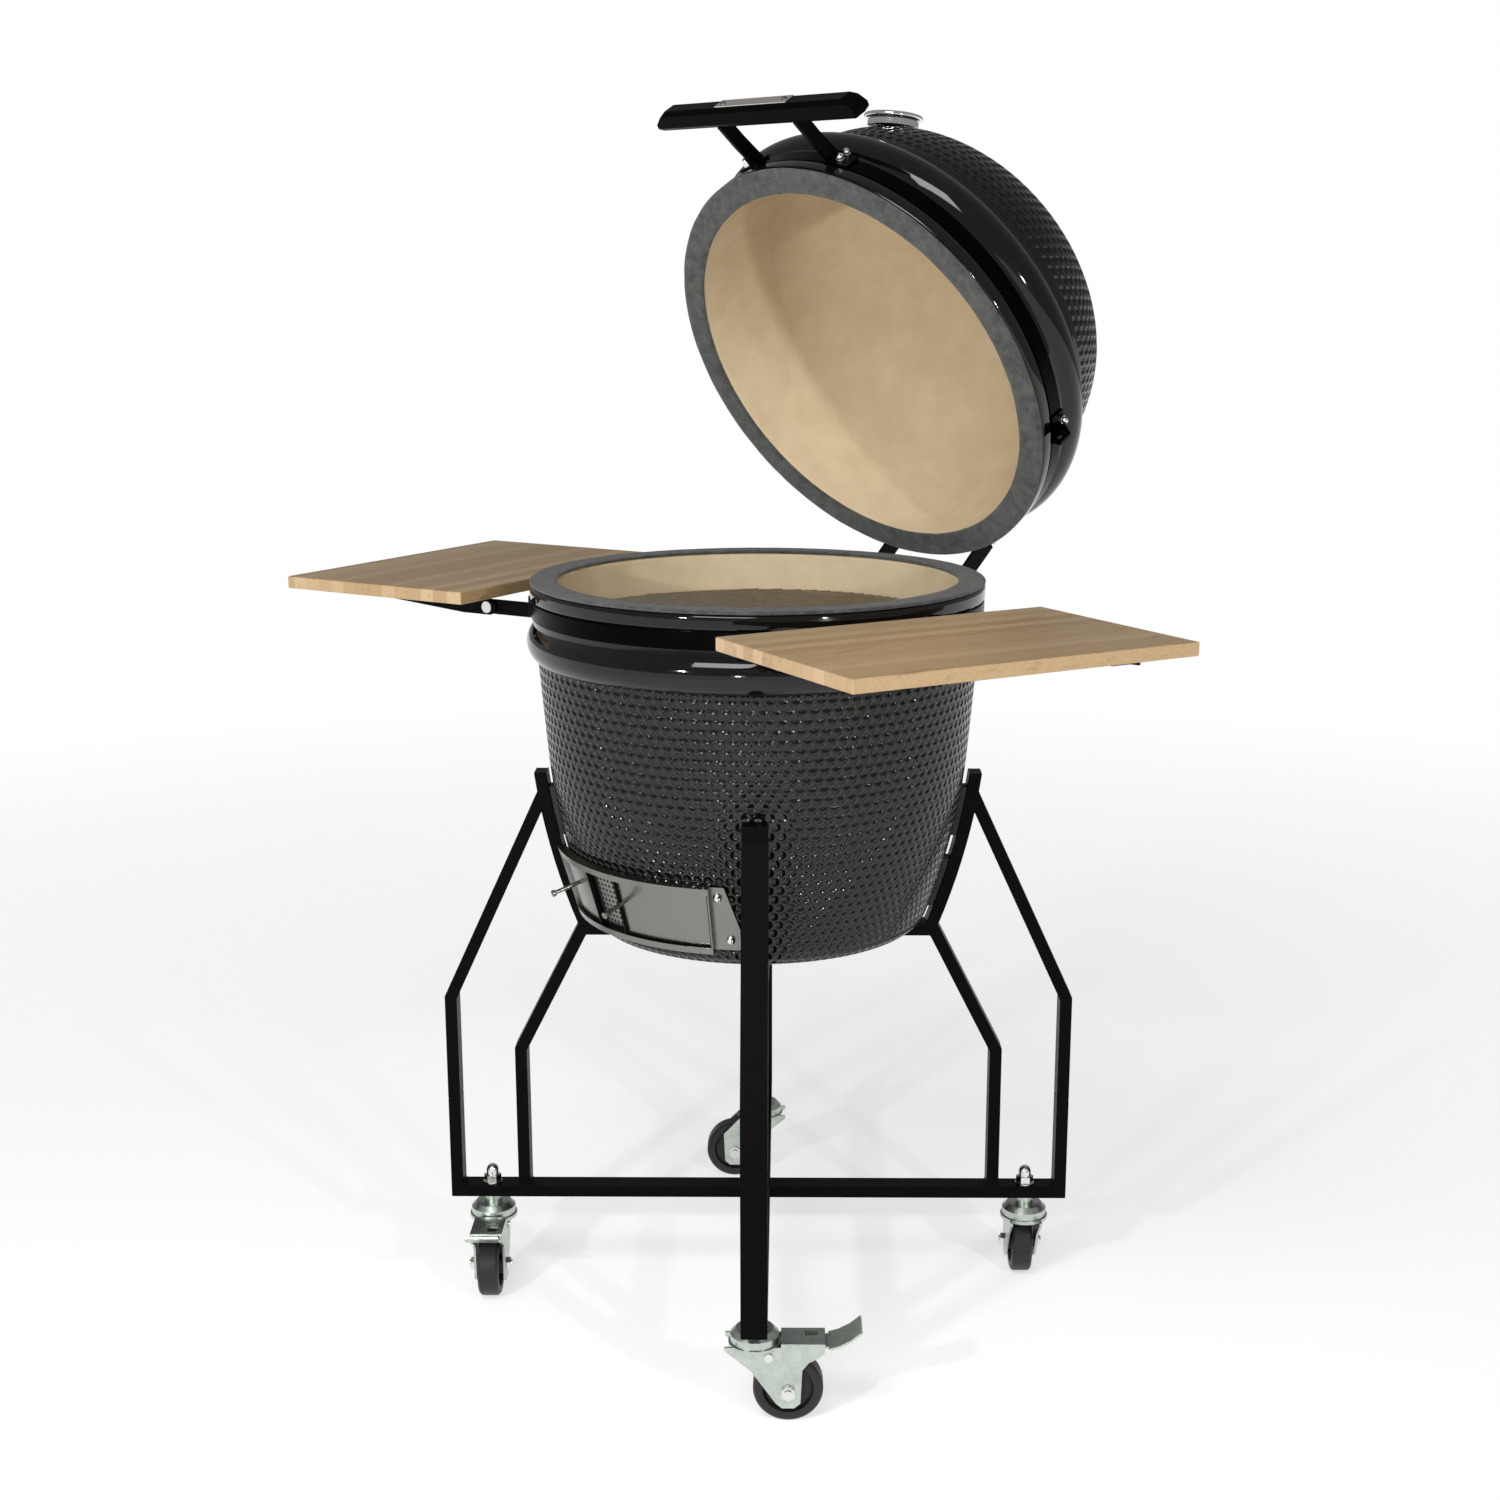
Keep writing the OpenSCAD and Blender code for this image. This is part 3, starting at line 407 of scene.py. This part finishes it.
def glass_material():
    """Clear glass of the thermometer."""
    n = Nodes("clear_glass")
    n.rough(n.ramp(n.noise(120, 2), (0.3, 0.02), (0.7, 0.06)))
    n.set(Transmission_Weight=1.0, IOR=1.45)
    n.shader.inputs["Base Color"].default_value = (0.95, 0.98, 0.98, 1)
    return n.material


def shelf_turn(side):
    """How far a shelf is turned round the grill, from the direction of its fold joint."""
    fold = next(j for j in frame["joints"] if j["name"] == f"shelf_{side}_fold")
    return math.atan(fold["axis"][0] / fold["axis"][1])


glaze = glaze_material()
clay = clay_material()
felt = felt_material()
black_frame = coat_material("frame_black", 0.0012, 0.34, 0.48, 0.05)
black_plate = coat_material("plate_black", 0.0010, 0.26, 0.38, 0.06)
black_strap = coat_material("strap_black", 0.0004, 0.20, 0.30, 0.03)
black_handle = coat_material("handle_black", 0.0010, 0.30, 0.42, 0.04)
zinc = metal_material("zinc", (0.58, 0.64, 0.58), 0.24, 0.42, spots=0.25)
chrome = metal_material("chrome", (0.82, 0.82, 0.82), 0.06, 0.12)
steel_nut = metal_material("steel_nut", (0.74, 0.74, 0.73), 0.12, 0.22)
stainless = metal_material("stainless", (0.22, 0.22, 0.205), 0.22, 0.32, grain=(1, 1, 18))
# painted shade: a dark coat that stands in for the shade at the draft doors' folded inner edges
lip_painted_shade = coat_material("lip_painted_shade", 0.003, 0.3, 0.4, 0.08)
spring_steel = metal_material("spring_steel", (0.16, 0.16, 0.165), 0.3, 0.45)
grid_steel = metal_material("grid_steel", (0.44, 0.41, 0.34), 0.28, 0.44, spots=0.3)
plain_plate = metal_material("plain_plate", (0.70, 0.66, 0.62), 0.3, 0.42, grain=(1, 14, 14))
cast_iron = rubber_material("cast_iron", (0.03, 0.03, 0.031), 0.62)
vent_iron = coat_material("vent_iron", 0.008, 0.42, 0.56, 0.3)
wheel_rubber = rubber_material("wheel_rubber", (0.017, 0.017, 0.018), 0.46)
pad_rubber = rubber_material("pad_rubber", (0.02, 0.02, 0.02), 0.6)
sleeve_plastic = rubber_material("sleeve_plastic", (0.02, 0.02, 0.02), 0.4)
bamboo_left = bamboo_material("bamboo_left", shelf_turn("left"))
bamboo_right = bamboo_material("bamboo_right", shelf_turn("right"))
dial = dial_material()
clear_glass = glass_material()

# ---------- the CAD nodes' looks ----------

CORNERS = ("rear_right", "rear_left", "front_left", "front_right")
FINISH = {
    black_frame: ["base_cross", "leg_frame_a", "leg_frame_b"],
    sleeve_plastic: ["post_sleeves"],
    pad_rubber: ["cradle_pads"],
    zinc: ["caster_tops", "brake_pedal_front_left", "brake_pedal_front_right"]
    + [f"fork_{c}" for c in CORNERS],
    steel_nut: ["caster_cap_nuts", "hinge_pin", "shelf_bolts", "lid_band_nuts", "draft_bolts",
                "shelf_screws_left", "shelf_screws_right", "vent_bolt"]
    + [f"axle_{c}" for c in CORNERS],
    wheel_rubber: [f"wheel_{c}" for c in CORNERS],
    black_strap: ["bowl_band", "lid_band"],
    black_plate: ["hinge_lower", "hinge_upper", "shelf_arms_left", "shelf_arms_right", "shelf_clips",
                  "handle_arms"],
    stainless: ["draft_frame", "draft_screen", "draft_door_left", "draft_door_right"],
    clay: ["firebox", "fire_ring"],
    cast_iron: ["charcoal_grate"],
    grid_steel: ["cooking_grid"],
    spring_steel: ["hinge_springs", "handle_screws"],
    bamboo_left: ["shelf_board_left"],
    bamboo_right: ["shelf_board_right"],
    black_handle: ["handle_bar"],
    plain_plate: ["handle_plate"],
    chrome: ["thermometer_case", "thermometer_bezel"],
    dial: ["thermometer_dial"],
    clear_glass: ["thermometer_glass"],
    vent_iron: ["vent_base", "vent_disc"],
}

# width in millimetres of each rounded edge
EDGE_ROUND = {
    "base_cross": 1.2, "leg_frame_a": 1.2, "leg_frame_b": 1.2, "shelf_board_left": 1.4,
    "shelf_board_right": 1.4, "handle_bar": 1.0, "handle_plate": 0.3, "handle_arms": 0.6,
    "hinge_lower": 0.6, "hinge_upper": 0.6, "shelf_arms_left": 0.5, "shelf_arms_right": 0.5,
    "shelf_clips": 0.5, "lid_band": 0.5, "bowl_band": 0.5, "caster_tops": 0.8, "caster_cap_nuts": 0.5,
    "vent_base": 0.8, "vent_disc": 0.8, "thermometer_case": 0.5, "fire_ring": 3.0, "firebox": 2.0,
    "brake_pedal_front_left": 0.5, "brake_pedal_front_right": 0.5,
    **{f"fork_{c}": 0.6 for c in CORNERS},
    **{f"wheel_{c}": 0.8 for c in CORNERS},
}


BEVEL_FROM = math.radians(40)
SHARP_FROM = math.radians(32)
# width in degrees of the band of painted shade on each draft door's inner lip
LIP_WIDTH_DEG = 0.5


def soften(node, width_mm):
    """Rounds a CAD node's sharp edges with modifiers, so that they catch the light."""
    piece = frame["nodes"][node]
    weld = piece.modifiers.new("weld", "WELD")
    weld.merge_threshold = 0.02 * MM
    bevel = piece.modifiers.new("bevel", "BEVEL")
    bevel.width = width_mm * MM
    bevel.segments = 2
    bevel.limit_method = "ANGLE"
    bevel.angle_limit = BEVEL_FROM
    bevel.harden_normals = True


def dress(node, material):
    """Gives a CAD node its material, smooth on its curves and sharp at its edges."""
    piece = frame["nodes"][node]
    piece.data.materials.clear()
    piece.data.materials.append(material)
    if "custom_normal" in piece.data.attributes:
        piece.data.attributes.remove(piece.data.attributes["custom_normal"])
    piece.data.polygons.foreach_set("use_smooth", [True] * len(piece.data.polygons))
    piece.data.set_sharp_from_angle(angle=SHARP_FROM)


def paint_lip_shade(node, inner_end):
    """Paints shade on the lip at a draft door's inner end: a dark coat on a band of its faces stands in
    for the shade where the door's edge folds. inner_end is min or max.
    """
    piece = frame["nodes"][node]
    piece.data.materials.append(lip_painted_shade)
    centres = [piece.matrix_world @ face.center for face in piece.data.polygons]
    angles = [math.degrees(math.atan2(c.x, AXIS_Y - c.y)) for c in centres]
    lip = inner_end(angles)
    slots = [1 if abs(angle - lip) < LIP_WIDTH_DEG else 0 for angle in angles]
    piece.data.polygons.foreach_set("material_index", slots)


for material, node_names in FINISH.items():
    for node_name in node_names:
        dress(node_name, material)
for node_name, width in EDGE_ROUND.items():
    soften(node_name, width)
# painted shade: the dark coat on each draft door's inner lip
paint_lip_shade("draft_door_left", max)
paint_lip_shade("draft_door_right", min)


# ---------- ceramic bowl and lid ----------

LIP_H = 18 * MM  # rim down to the groove
GROOVE_R = RIM_R - 4 * MM
BEAD_R = 27.4 * MM
BEAD_H = 68 * MM  # rim down to the bead's middle
BEAD_EDGE = 22 * MM  # bead's middle to the groove
RIM_ROUND = 5 * MM
LIP_ROUND = 3 * MM
GROOVE_ROUND = 2 * MM
CAVITY_ROUND = 4 * MM
HUB_R = 3 * MM  # radius at which a capped outline stops, beside the axis
BETWEEN_PITS = 0.5  # place in the lattice that is furthest from any pit
GLAZE_SLOT, CLAY_SLOT = 0, 1


def pits(radius, travel, start, rows, per_row):
    """Depth of the pits at each vertex. travel is the way along the outline, start the first row's place
    on it, and per_row(r) the number of pits in a row of radius r."""
    angle = np.arange(COLUMNS) * 2 * math.pi / COLUMNS
    depth = np.zeros((len(radius), COLUMNS))
    for row in range(rows):
        centre = start + row * ROW_PITCH
        near = np.abs(travel - centre) < PIT_R
        r = float(np.interp(centre, travel, radius))
        step = 2 * math.pi / per_row(r)
        offset = (row % 2) * step / 2
        slot = np.round((angle - offset) / step)
        across = (angle - offset - slot * step) * r
        distance = np.hypot(across[None, :], (travel[near] - centre)[:, None])
        hollow = np.clip(1 - (distance / PIT_R) ** 2, 0, 1)
        depth[near] = np.maximum(depth[near], PIT_DEPTH * hollow)
    return depth


def pit_places(radius, travel, start, rows, per_row):
    """For each corner of the outline's faces, its place in the lattice of pits: whole numbers are the
    pits' middles. Away from the pits it is half-way between them."""
    corner_u = np.arange(COLUMNS + 1) / COLUMNS
    faces = np.full((len(travel) - 1, COLUMNS, 4, 2), BETWEEN_PITS)
    for i, middle in enumerate((travel[:-1] + travel[1:]) / 2):
        row = round((middle - start) / ROW_PITCH)
        if 0 <= row < rows:
            r = float(np.interp(start + row * ROW_PITCH, travel, radius))
            u = corner_u * per_row(r) - (row % 2) / 2
            v = (travel[i : i + 2] - start) / ROW_PITCH
            faces[i, :, :, 0] = np.stack([u[:-1], u[1:], u[1:], u[:-1]], 1)
            faces[i, :, :, 1] = [v[0], v[0], v[1], v[1]]
    return faces.reshape(-1, 2)


def even_steps(points, start, end, step):
    """The outline with the stretch between two lengths along it cut into equal steps."""
    points = np.array(points)
    travel = np.concatenate([[0], np.cumsum(np.hypot(*np.diff(points, axis=0).T))])
    count = round((end - start) / step)
    places = start + np.arange(count + 1) * (end - start) / count
    middle = np.stack([np.interp(places, travel, points[:, axis]) for axis in (0, 1)], axis=1)
    before = points[travel < start - step / 2]
    after = points[travel > end + step / 2]
    return np.concatenate([before, middle, after])


def ceramic(outer, inner, dimpled, per_row, capped):
    """A closed ceramic shell: the outer outline with its dimples, then the inner one.
    dimpled is the first row's length along the outer outline and the number of rows."""
    start, rows = dimpled
    end = start + (rows + 0.5) * ROW_PITCH
    outer = even_steps(outer, start - ROW_PITCH, end, ROW_PITCH / 4)
    profile = np.concatenate([outer, np.array(inner)])
    radius, height = profile.T
    travel = np.concatenate([[0], np.cumsum(np.hypot(np.diff(radius), np.diff(height)))])
    tangent = np.gradient(profile, axis=0)
    tangent /= np.linalg.norm(tangent, axis=1, keepdims=True)
    depth = pits(radius, travel, start, rows, per_row)
    grid_r = radius[:, None] - tangent[:, 1:2] * depth
    grid_z = height[:, None] + tangent[:, 0:1] * depth
    vertices, faces = revolve(grid_r, grid_z, COLUMNS, capped)
    outside = np.arange(len(profile)) < len(outer)
    slots = np.repeat(np.where(outside, GLAZE_SLOT, CLAY_SLOT), COLUMNS)
    if capped:
        hubs = np.tile([GLAZE_SLOT, CLAY_SLOT], COLUMNS)
        slots = np.concatenate([slots[: len(faces) - 2 * COLUMNS], hubs])
    places = pit_places(radius, travel, start, rows, per_row)
    corners = sum(len(f) for f in faces)
    places = np.concatenate([places, np.full((corners - len(places), 2), BETWEEN_PITS)])
    return vertices, faces, slots, places


def length_at(points, height):
    """Length along an outline, counted from its start, at which it first passes a height."""
    total = 0.0
    for (r0, z0), (r1, z1) in zip(points, points[1:]):
        if z0 < height <= z1:
            return total + math.dist((r0, z0), (r1, z1)) * (height - z0) / (z1 - z0)
        total += math.dist((r0, z0), (r1, z1))
    return total


SIDE_ARC = 800 * MM  # radius of the bowl's side
SIDE_TILT = math.radians(6.3)
SIDE_Z = 700 * MM  # where the arc ends and the straight side starts
SIDE_R = 253.5 * MM
SIDE_C = (SIDE_R - SIDE_ARC * math.cos(SIDE_TILT), SIDE_Z + SIDE_ARC * math.sin(SIDE_TILT))
WALL = 22 * MM
FLOOR_T = 28 * MM
SHOULDER = (264 * MM, 820 * MM)
FOOT_ROUND = 30 * MM
INNER_FOOT_ROUND = 22 * MM
CAVITY_LOW = 850 * MM  # lower end of the straight wall behind the rim
BOWL_PITS = (497 * MM, 819 * MM)  # heights between which the bowl is dimpled


def foot(inset, bottom, round_r):
    """Rounded foot of the bowl: centre and end angle of the round, both on the side arc's radius."""
    reach = SIDE_ARC - inset
    centre_z = bottom + round_r
    centre_r = SIDE_C[0] + math.sqrt((reach - round_r) ** 2 - (SIDE_C[1] - centre_z) ** 2)
    angle = math.degrees(math.asin((centre_z - SIDE_C[1]) / (reach - round_r)))
    return (centre_r, centre_z), angle


def bowl_outlines():
    """The bowl's outlines round Z, outer one from the foot up, inner one back down."""
    top = BOWL_TOP
    centre, angle = foot(0, BOWL_BOTTOM, FOOT_ROUND)
    side_end = -math.degrees(SIDE_TILT)
    bead_c = (BEAD_OUT - BEAD_R, top - BEAD_H)
    outer = joined(
        line((HUB_R, BOWL_BOTTOM), (centre[0], BOWL_BOTTOM), 5),
        arc(centre, FOOT_ROUND, -90, angle, 8),
        arc(SIDE_C, SIDE_ARC, angle, side_end, 60),
        line((SIDE_R, SIDE_Z), SHOULDER, 4),
        arc(bead_c, BEAD_R, -57, 47, 16),
        [(GROOVE_R, top - BEAD_H + BEAD_EDGE), (GROOVE_R, top - LIP_H - LIP_ROUND)],
        arc((GROOVE_R + GROOVE_ROUND, top - LIP_H - 1 * MM), GROOVE_ROUND, 180, 90, 3),
        arc((RIM_R - LIP_ROUND, top - LIP_H + LIP_ROUND), LIP_ROUND, -90, 0, 4),
        arc((RIM_R - RIM_ROUND, top - RIM_ROUND), RIM_ROUND, 0, 90, 5),
    )
    in_c, in_angle = foot(WALL, BOWL_BOTTOM + FLOOR_T, INNER_FOOT_ROUND)
    inner = joined(
        arc((CAVITY_R + CAVITY_ROUND, top - CAVITY_ROUND), CAVITY_ROUND, 90, 180, 4),
        [(CAVITY_R, CAVITY_LOW), (SIDE_R - WALL, SIDE_Z)],
        arc(SIDE_C, SIDE_ARC - WALL, side_end, in_angle, 12),
        arc(in_c, INNER_FOOT_ROUND, in_angle, -90, 6),
        [(in_c[0], BOWL_BOTTOM + FLOOR_T), (HUB_R, BOWL_BOTTOM + FLOOR_T)],
    )
    return outer, inner


def make_bowl():
    """The bowl, dimpled outside and bare clay inside."""
    outer, inner = bowl_outlines()
    first, last = (length_at(outer, height) for height in BOWL_PITS)
    rows = 1 + int((last - first) / ROW_PITCH)
    vertices, faces, slots, places = ceramic(
        outer, inner, (first, rows), lambda r: BOWL_DIMPLES, capped=True
    )
    place = Matrix.Translation((0, AXIS_Y, 0))
    return add_piece("bowl_shell", vertices, faces, [glaze, clay], place, slots, places)


DOME_H = 287 * MM
DOME_SIDE_R = 140 * MM
DOME_SIDE_C = (108 * MM, 115 * MM)
DOME_T = 20 * MM
VENT_FLAT = 280.5 * MM
VENT_HOLE_R = 45 * MM
LID_CAVITY_H = 40 * MM  # upper end of the straight wall behind the rim
LID_PITS_FROM = 128 * MM
LID_PITS_CLEAR = 0.5 * MM  # under the flat of the vent


def dome_top():
    """Centre height, radius and start angle of the arc over the dome's side arcs."""
    rise = DOME_H - DOME_SIDE_R
    square = math.hypot(*DOME_SIDE_C) ** 2
    centre = (rise**2 - square) / (2 * (rise - DOME_SIDE_C[1]))
    angle = math.degrees(math.atan2(DOME_SIDE_C[1] - centre, DOME_SIDE_C[0]))
    return centre, DOME_H - centre, angle


def lid_outlines():
    """The lid's outlines with its rim at z = 0, outer one from the rim up, inner one back down."""
    centre, radius, angle = dome_top()
    bead_c = (BEAD_OUT - BEAD_R, FELT + BEAD_H)
    wall_r = DOME_SIDE_C[0] + DOME_SIDE_R
    flat_angle = math.degrees(math.asin((VENT_FLAT - centre) / radius))
    flat_r = radius * math.cos(math.radians(flat_angle))
    outer = joined(
        arc((RIM_R - RIM_ROUND, FELT + RIM_ROUND), RIM_ROUND, -90, 0, 5),
        arc((RIM_R - LIP_ROUND, FELT + LIP_H - LIP_ROUND), LIP_ROUND, 0, 90, 4),
        arc((GROOVE_R + GROOVE_ROUND, FELT + LIP_H + 1 * MM), GROOVE_ROUND, -90, -180, 3),
        [(GROOVE_R, FELT + BEAD_H - BEAD_EDGE)],
        arc(bead_c, BEAD_R, -47, 85, 22),
        arc(DOME_SIDE_C, DOME_SIDE_R, 0, angle, 50),
        arc((0, centre), radius, angle, flat_angle, 40),
        [(flat_r, VENT_FLAT), (VENT_HOLE_R, VENT_FLAT)],
    )
    inner_top = radius - DOME_T
    hole_angle = math.degrees(math.acos(VENT_HOLE_R / inner_top))
    inner = joined(
        arc((0, centre), inner_top, hole_angle, angle, 14),
        arc(DOME_SIDE_C, DOME_SIDE_R - DOME_T, angle, 0, 14),
        [(wall_r - DOME_T, DOME_SIDE_C[1]), (CAVITY_R, FELT + LID_CAVITY_H)],
        arc((CAVITY_R + CAVITY_ROUND, FELT + CAVITY_ROUND), CAVITY_ROUND, 180, 270, 4),
    )
    return outer, inner


def make_lid():
    """The lid's dome, with fewer pits in a row towards its top."""
    outer, inner = lid_outlines()
    first = length_at(outer, LID_PITS_FROM)
    rows = int((length_at(outer, VENT_FLAT - LID_PITS_CLEAR) - first) / ROW_PITCH)
    vertices, faces, slots, places = ceramic(
        outer, inner, (first, rows), lambda r: round(2 * math.pi * r / PITCH), capped=False
    )
    return add_piece("lid_shell", vertices, faces, [glaze, clay], in_lid(), slots, places)


bowl_shell = make_bowl()
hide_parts("bowl")
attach(bowl_shell, "stand_and_bowl")
lid_shell = make_lid()
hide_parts("lid_dome")
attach(lid_shell, "lid")


# ---------- felt gaskets ----------

GASKET_COLUMNS = 360
FELT_CORNER = 1.4 * MM
FELT_INWARD = 1.2 * MM  # how far loose fibres may stand into the opening
EDGE_UNEVEN = 0.35 * MM
FACE_UNEVEN = 0.10 * MM
FACE_SHIFT = 7  # columns between the unevenness of the edge and of the face


def gasket(name, bottom, seed, place):
    """A felt ring with soft corners and a slightly uneven face and edge."""
    inner, outer = CAVITY_R, RIM_R
    e = FELT_CORNER
    outline = joined(
        line((inner + e, bottom + FELT), (outer - e, bottom + FELT), 6),
        [(outer, bottom + FELT - e), (outer, bottom + e), (outer - e, bottom)],
        line((outer - e, bottom), (inner + e, bottom), 6),
        [(inner, bottom + e), (inner, bottom + FELT - e)],
    )
    points = np.array(outline)
    rng = np.random.default_rng(seed)
    rough = rng.normal(0, 1, (len(points), GASKET_COLUMNS))
    for _ in range(2):
        rough = (rough + np.roll(rough, 1, 1) + np.roll(rough, -1, 1)) / 3
    radius = points[:, 0:1] + rough * EDGE_UNEVEN
    height = points[:, 1:2] + np.roll(rough, FACE_SHIFT, 1) * FACE_UNEVEN
    radius = np.clip(radius, inner - FELT_INWARD, outer)
    height = np.clip(height, bottom, bottom + FELT)
    vertices, faces = revolve(radius, height, GASKET_COLUMNS)
    return add_piece(name, vertices, faces, [felt], place, smooth_angle=60)


bowl_felt = gasket("bowl_felt", BOWL_TOP, 3, Matrix.Translation((0, AXIS_Y, 0)))
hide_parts("bowl_gasket")
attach(bowl_felt, "stand_and_bowl")
lid_felt = gasket("lid_felt", 0, 5, in_lid())
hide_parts("lid_gasket")
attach(lid_felt, "lid")


# ---------- studio ----------

SENSOR = 36
LENS = 51.81
LENS_SHIFT = (-0.0127, 0.0275)
CAMERA_PLACE = (1.8434, -1.852, 1.2797)
CAMERA_TURN = (76.29, 0, 45.46)
CAMERA_AZIMUTH = 45  # rounded, for placing the lamps
AIM = (0, AXIS_Y, 0.85)
FLOOR_HALF = 14
FADE_LENGTH = 5.0  # metres, the length that the floor's fade is measured in


def area_light(name, place, size, watts):
    """A white rectangular lamp, aimed at the middle of the grill."""
    data = bpy.data.lights.new(name, "AREA")
    data.shape = "RECTANGLE"
    data.size, data.size_y = size
    data.energy = watts
    light = bpy.data.objects.new(name, data)
    light.location = place
    light.rotation_euler = (Vector(AIM) - Vector(place)).to_track_quat("-Z", "Y").to_euler()
    bpy.context.scene.collection.objects.link(light)


def round_axis(azimuth, distance, height):
    """A place at an angle from the camera's direction, positive to the right of the picture."""
    a = math.radians(CAMERA_AZIMUTH + azimuth)
    return (distance * math.sin(a), AXIS_Y - distance * math.cos(a), height)


def make_world(strength):
    """Soft white light from all round, seen directly as pure white."""
    world = bpy.data.worlds.new("studio")
    bpy.context.scene.world = world
    world.use_nodes = True
    nodes, links = world.node_tree.nodes, world.node_tree.links
    soft = nodes["Background"]
    soft.inputs["Color"].default_value = (1, 1, 1, 1)
    soft.inputs["Strength"].default_value = strength
    plain = nodes.new("ShaderNodeBackground")
    plain.inputs["Color"].default_value = (1, 1, 1, 1)
    ray = nodes.new("ShaderNodeLightPath")
    choice = nodes.new("ShaderNodeMixShader")
    links.new(ray.outputs["Is Camera Ray"], choice.inputs["Fac"])
    links.new(soft.outputs["Background"], choice.inputs[1])
    links.new(plain.outputs["Background"], choice.inputs[2])
    links.new(choice.outputs["Shader"], nodes["World Output"].inputs["Surface"])


def make_floor(glow):
    """A pale floor that fades into the white surroundings away from the grill."""
    half = FLOOR_HALF
    corners = [(-half, -half, 0), (half, -half, 0), (half, half, 0), (-half, half, 0)]
    mesh = bpy.data.meshes.new("floor")
    mesh.from_pydata(corners, [], [(0, 1, 2, 3)])
    n = Nodes("floor_paint")
    away = n.tree.nodes.new("ShaderNodeVectorMath")
    away.operation = "LENGTH"
    n.link(n.place, away.inputs[0])
    far = n.ramp(n.math("DIVIDE", away.outputs["Value"], FADE_LENGTH), (0.12, 0.0), (0.75, 1.0))
    n.colour(n.ramp(far, (0.0, 0.6), (1.0, 0.0)))
    n.shader.inputs["Emission Color"].default_value = (1, 1, 1, 1)
    n.link(n.ramp(far, (0.0, glow), (1.0, 1.0)), n.shader.inputs["Emission Strength"])
    n.set(Roughness=0.9, Specular_IOR_Level=0.0)
    mesh.materials.append(n.material)
    floor = bpy.data.objects.new("floor", mesh)
    bpy.context.scene.collection.objects.link(floor)


def make_camera():
    """The view from the front right, a little from above."""
    data = bpy.data.cameras.new("camera")
    data.sensor_width = SENSOR
    data.lens = LENS
    data.shift_x, data.shift_y = LENS_SHIFT
    camera = bpy.data.objects.new("camera", data)
    camera.location = CAMERA_PLACE
    camera.rotation_euler = [math.radians(angle) for angle in CAMERA_TURN]
    bpy.context.scene.collection.objects.link(camera)
    bpy.context.scene.camera = camera


make_camera()
make_world(strength=0.28)
make_floor(glow=0.58)
area_light("key", round_axis(-18, 2.2, 2.8), size=(1.3, 1.0), watts=36)
area_light("spark_left", round_axis(-34, 2.5, 1.3), size=(0.14, 0.08), watts=22)
area_light("spark_middle", round_axis(-8, 2.8, 0.75), size=(0.10, 0.08), watts=9)
area_light("spark_right", round_axis(32, 2.5, 1.35), size=(0.10, 0.10), watts=15)
bpy.context.scene.view_settings.view_transform = "Standard"
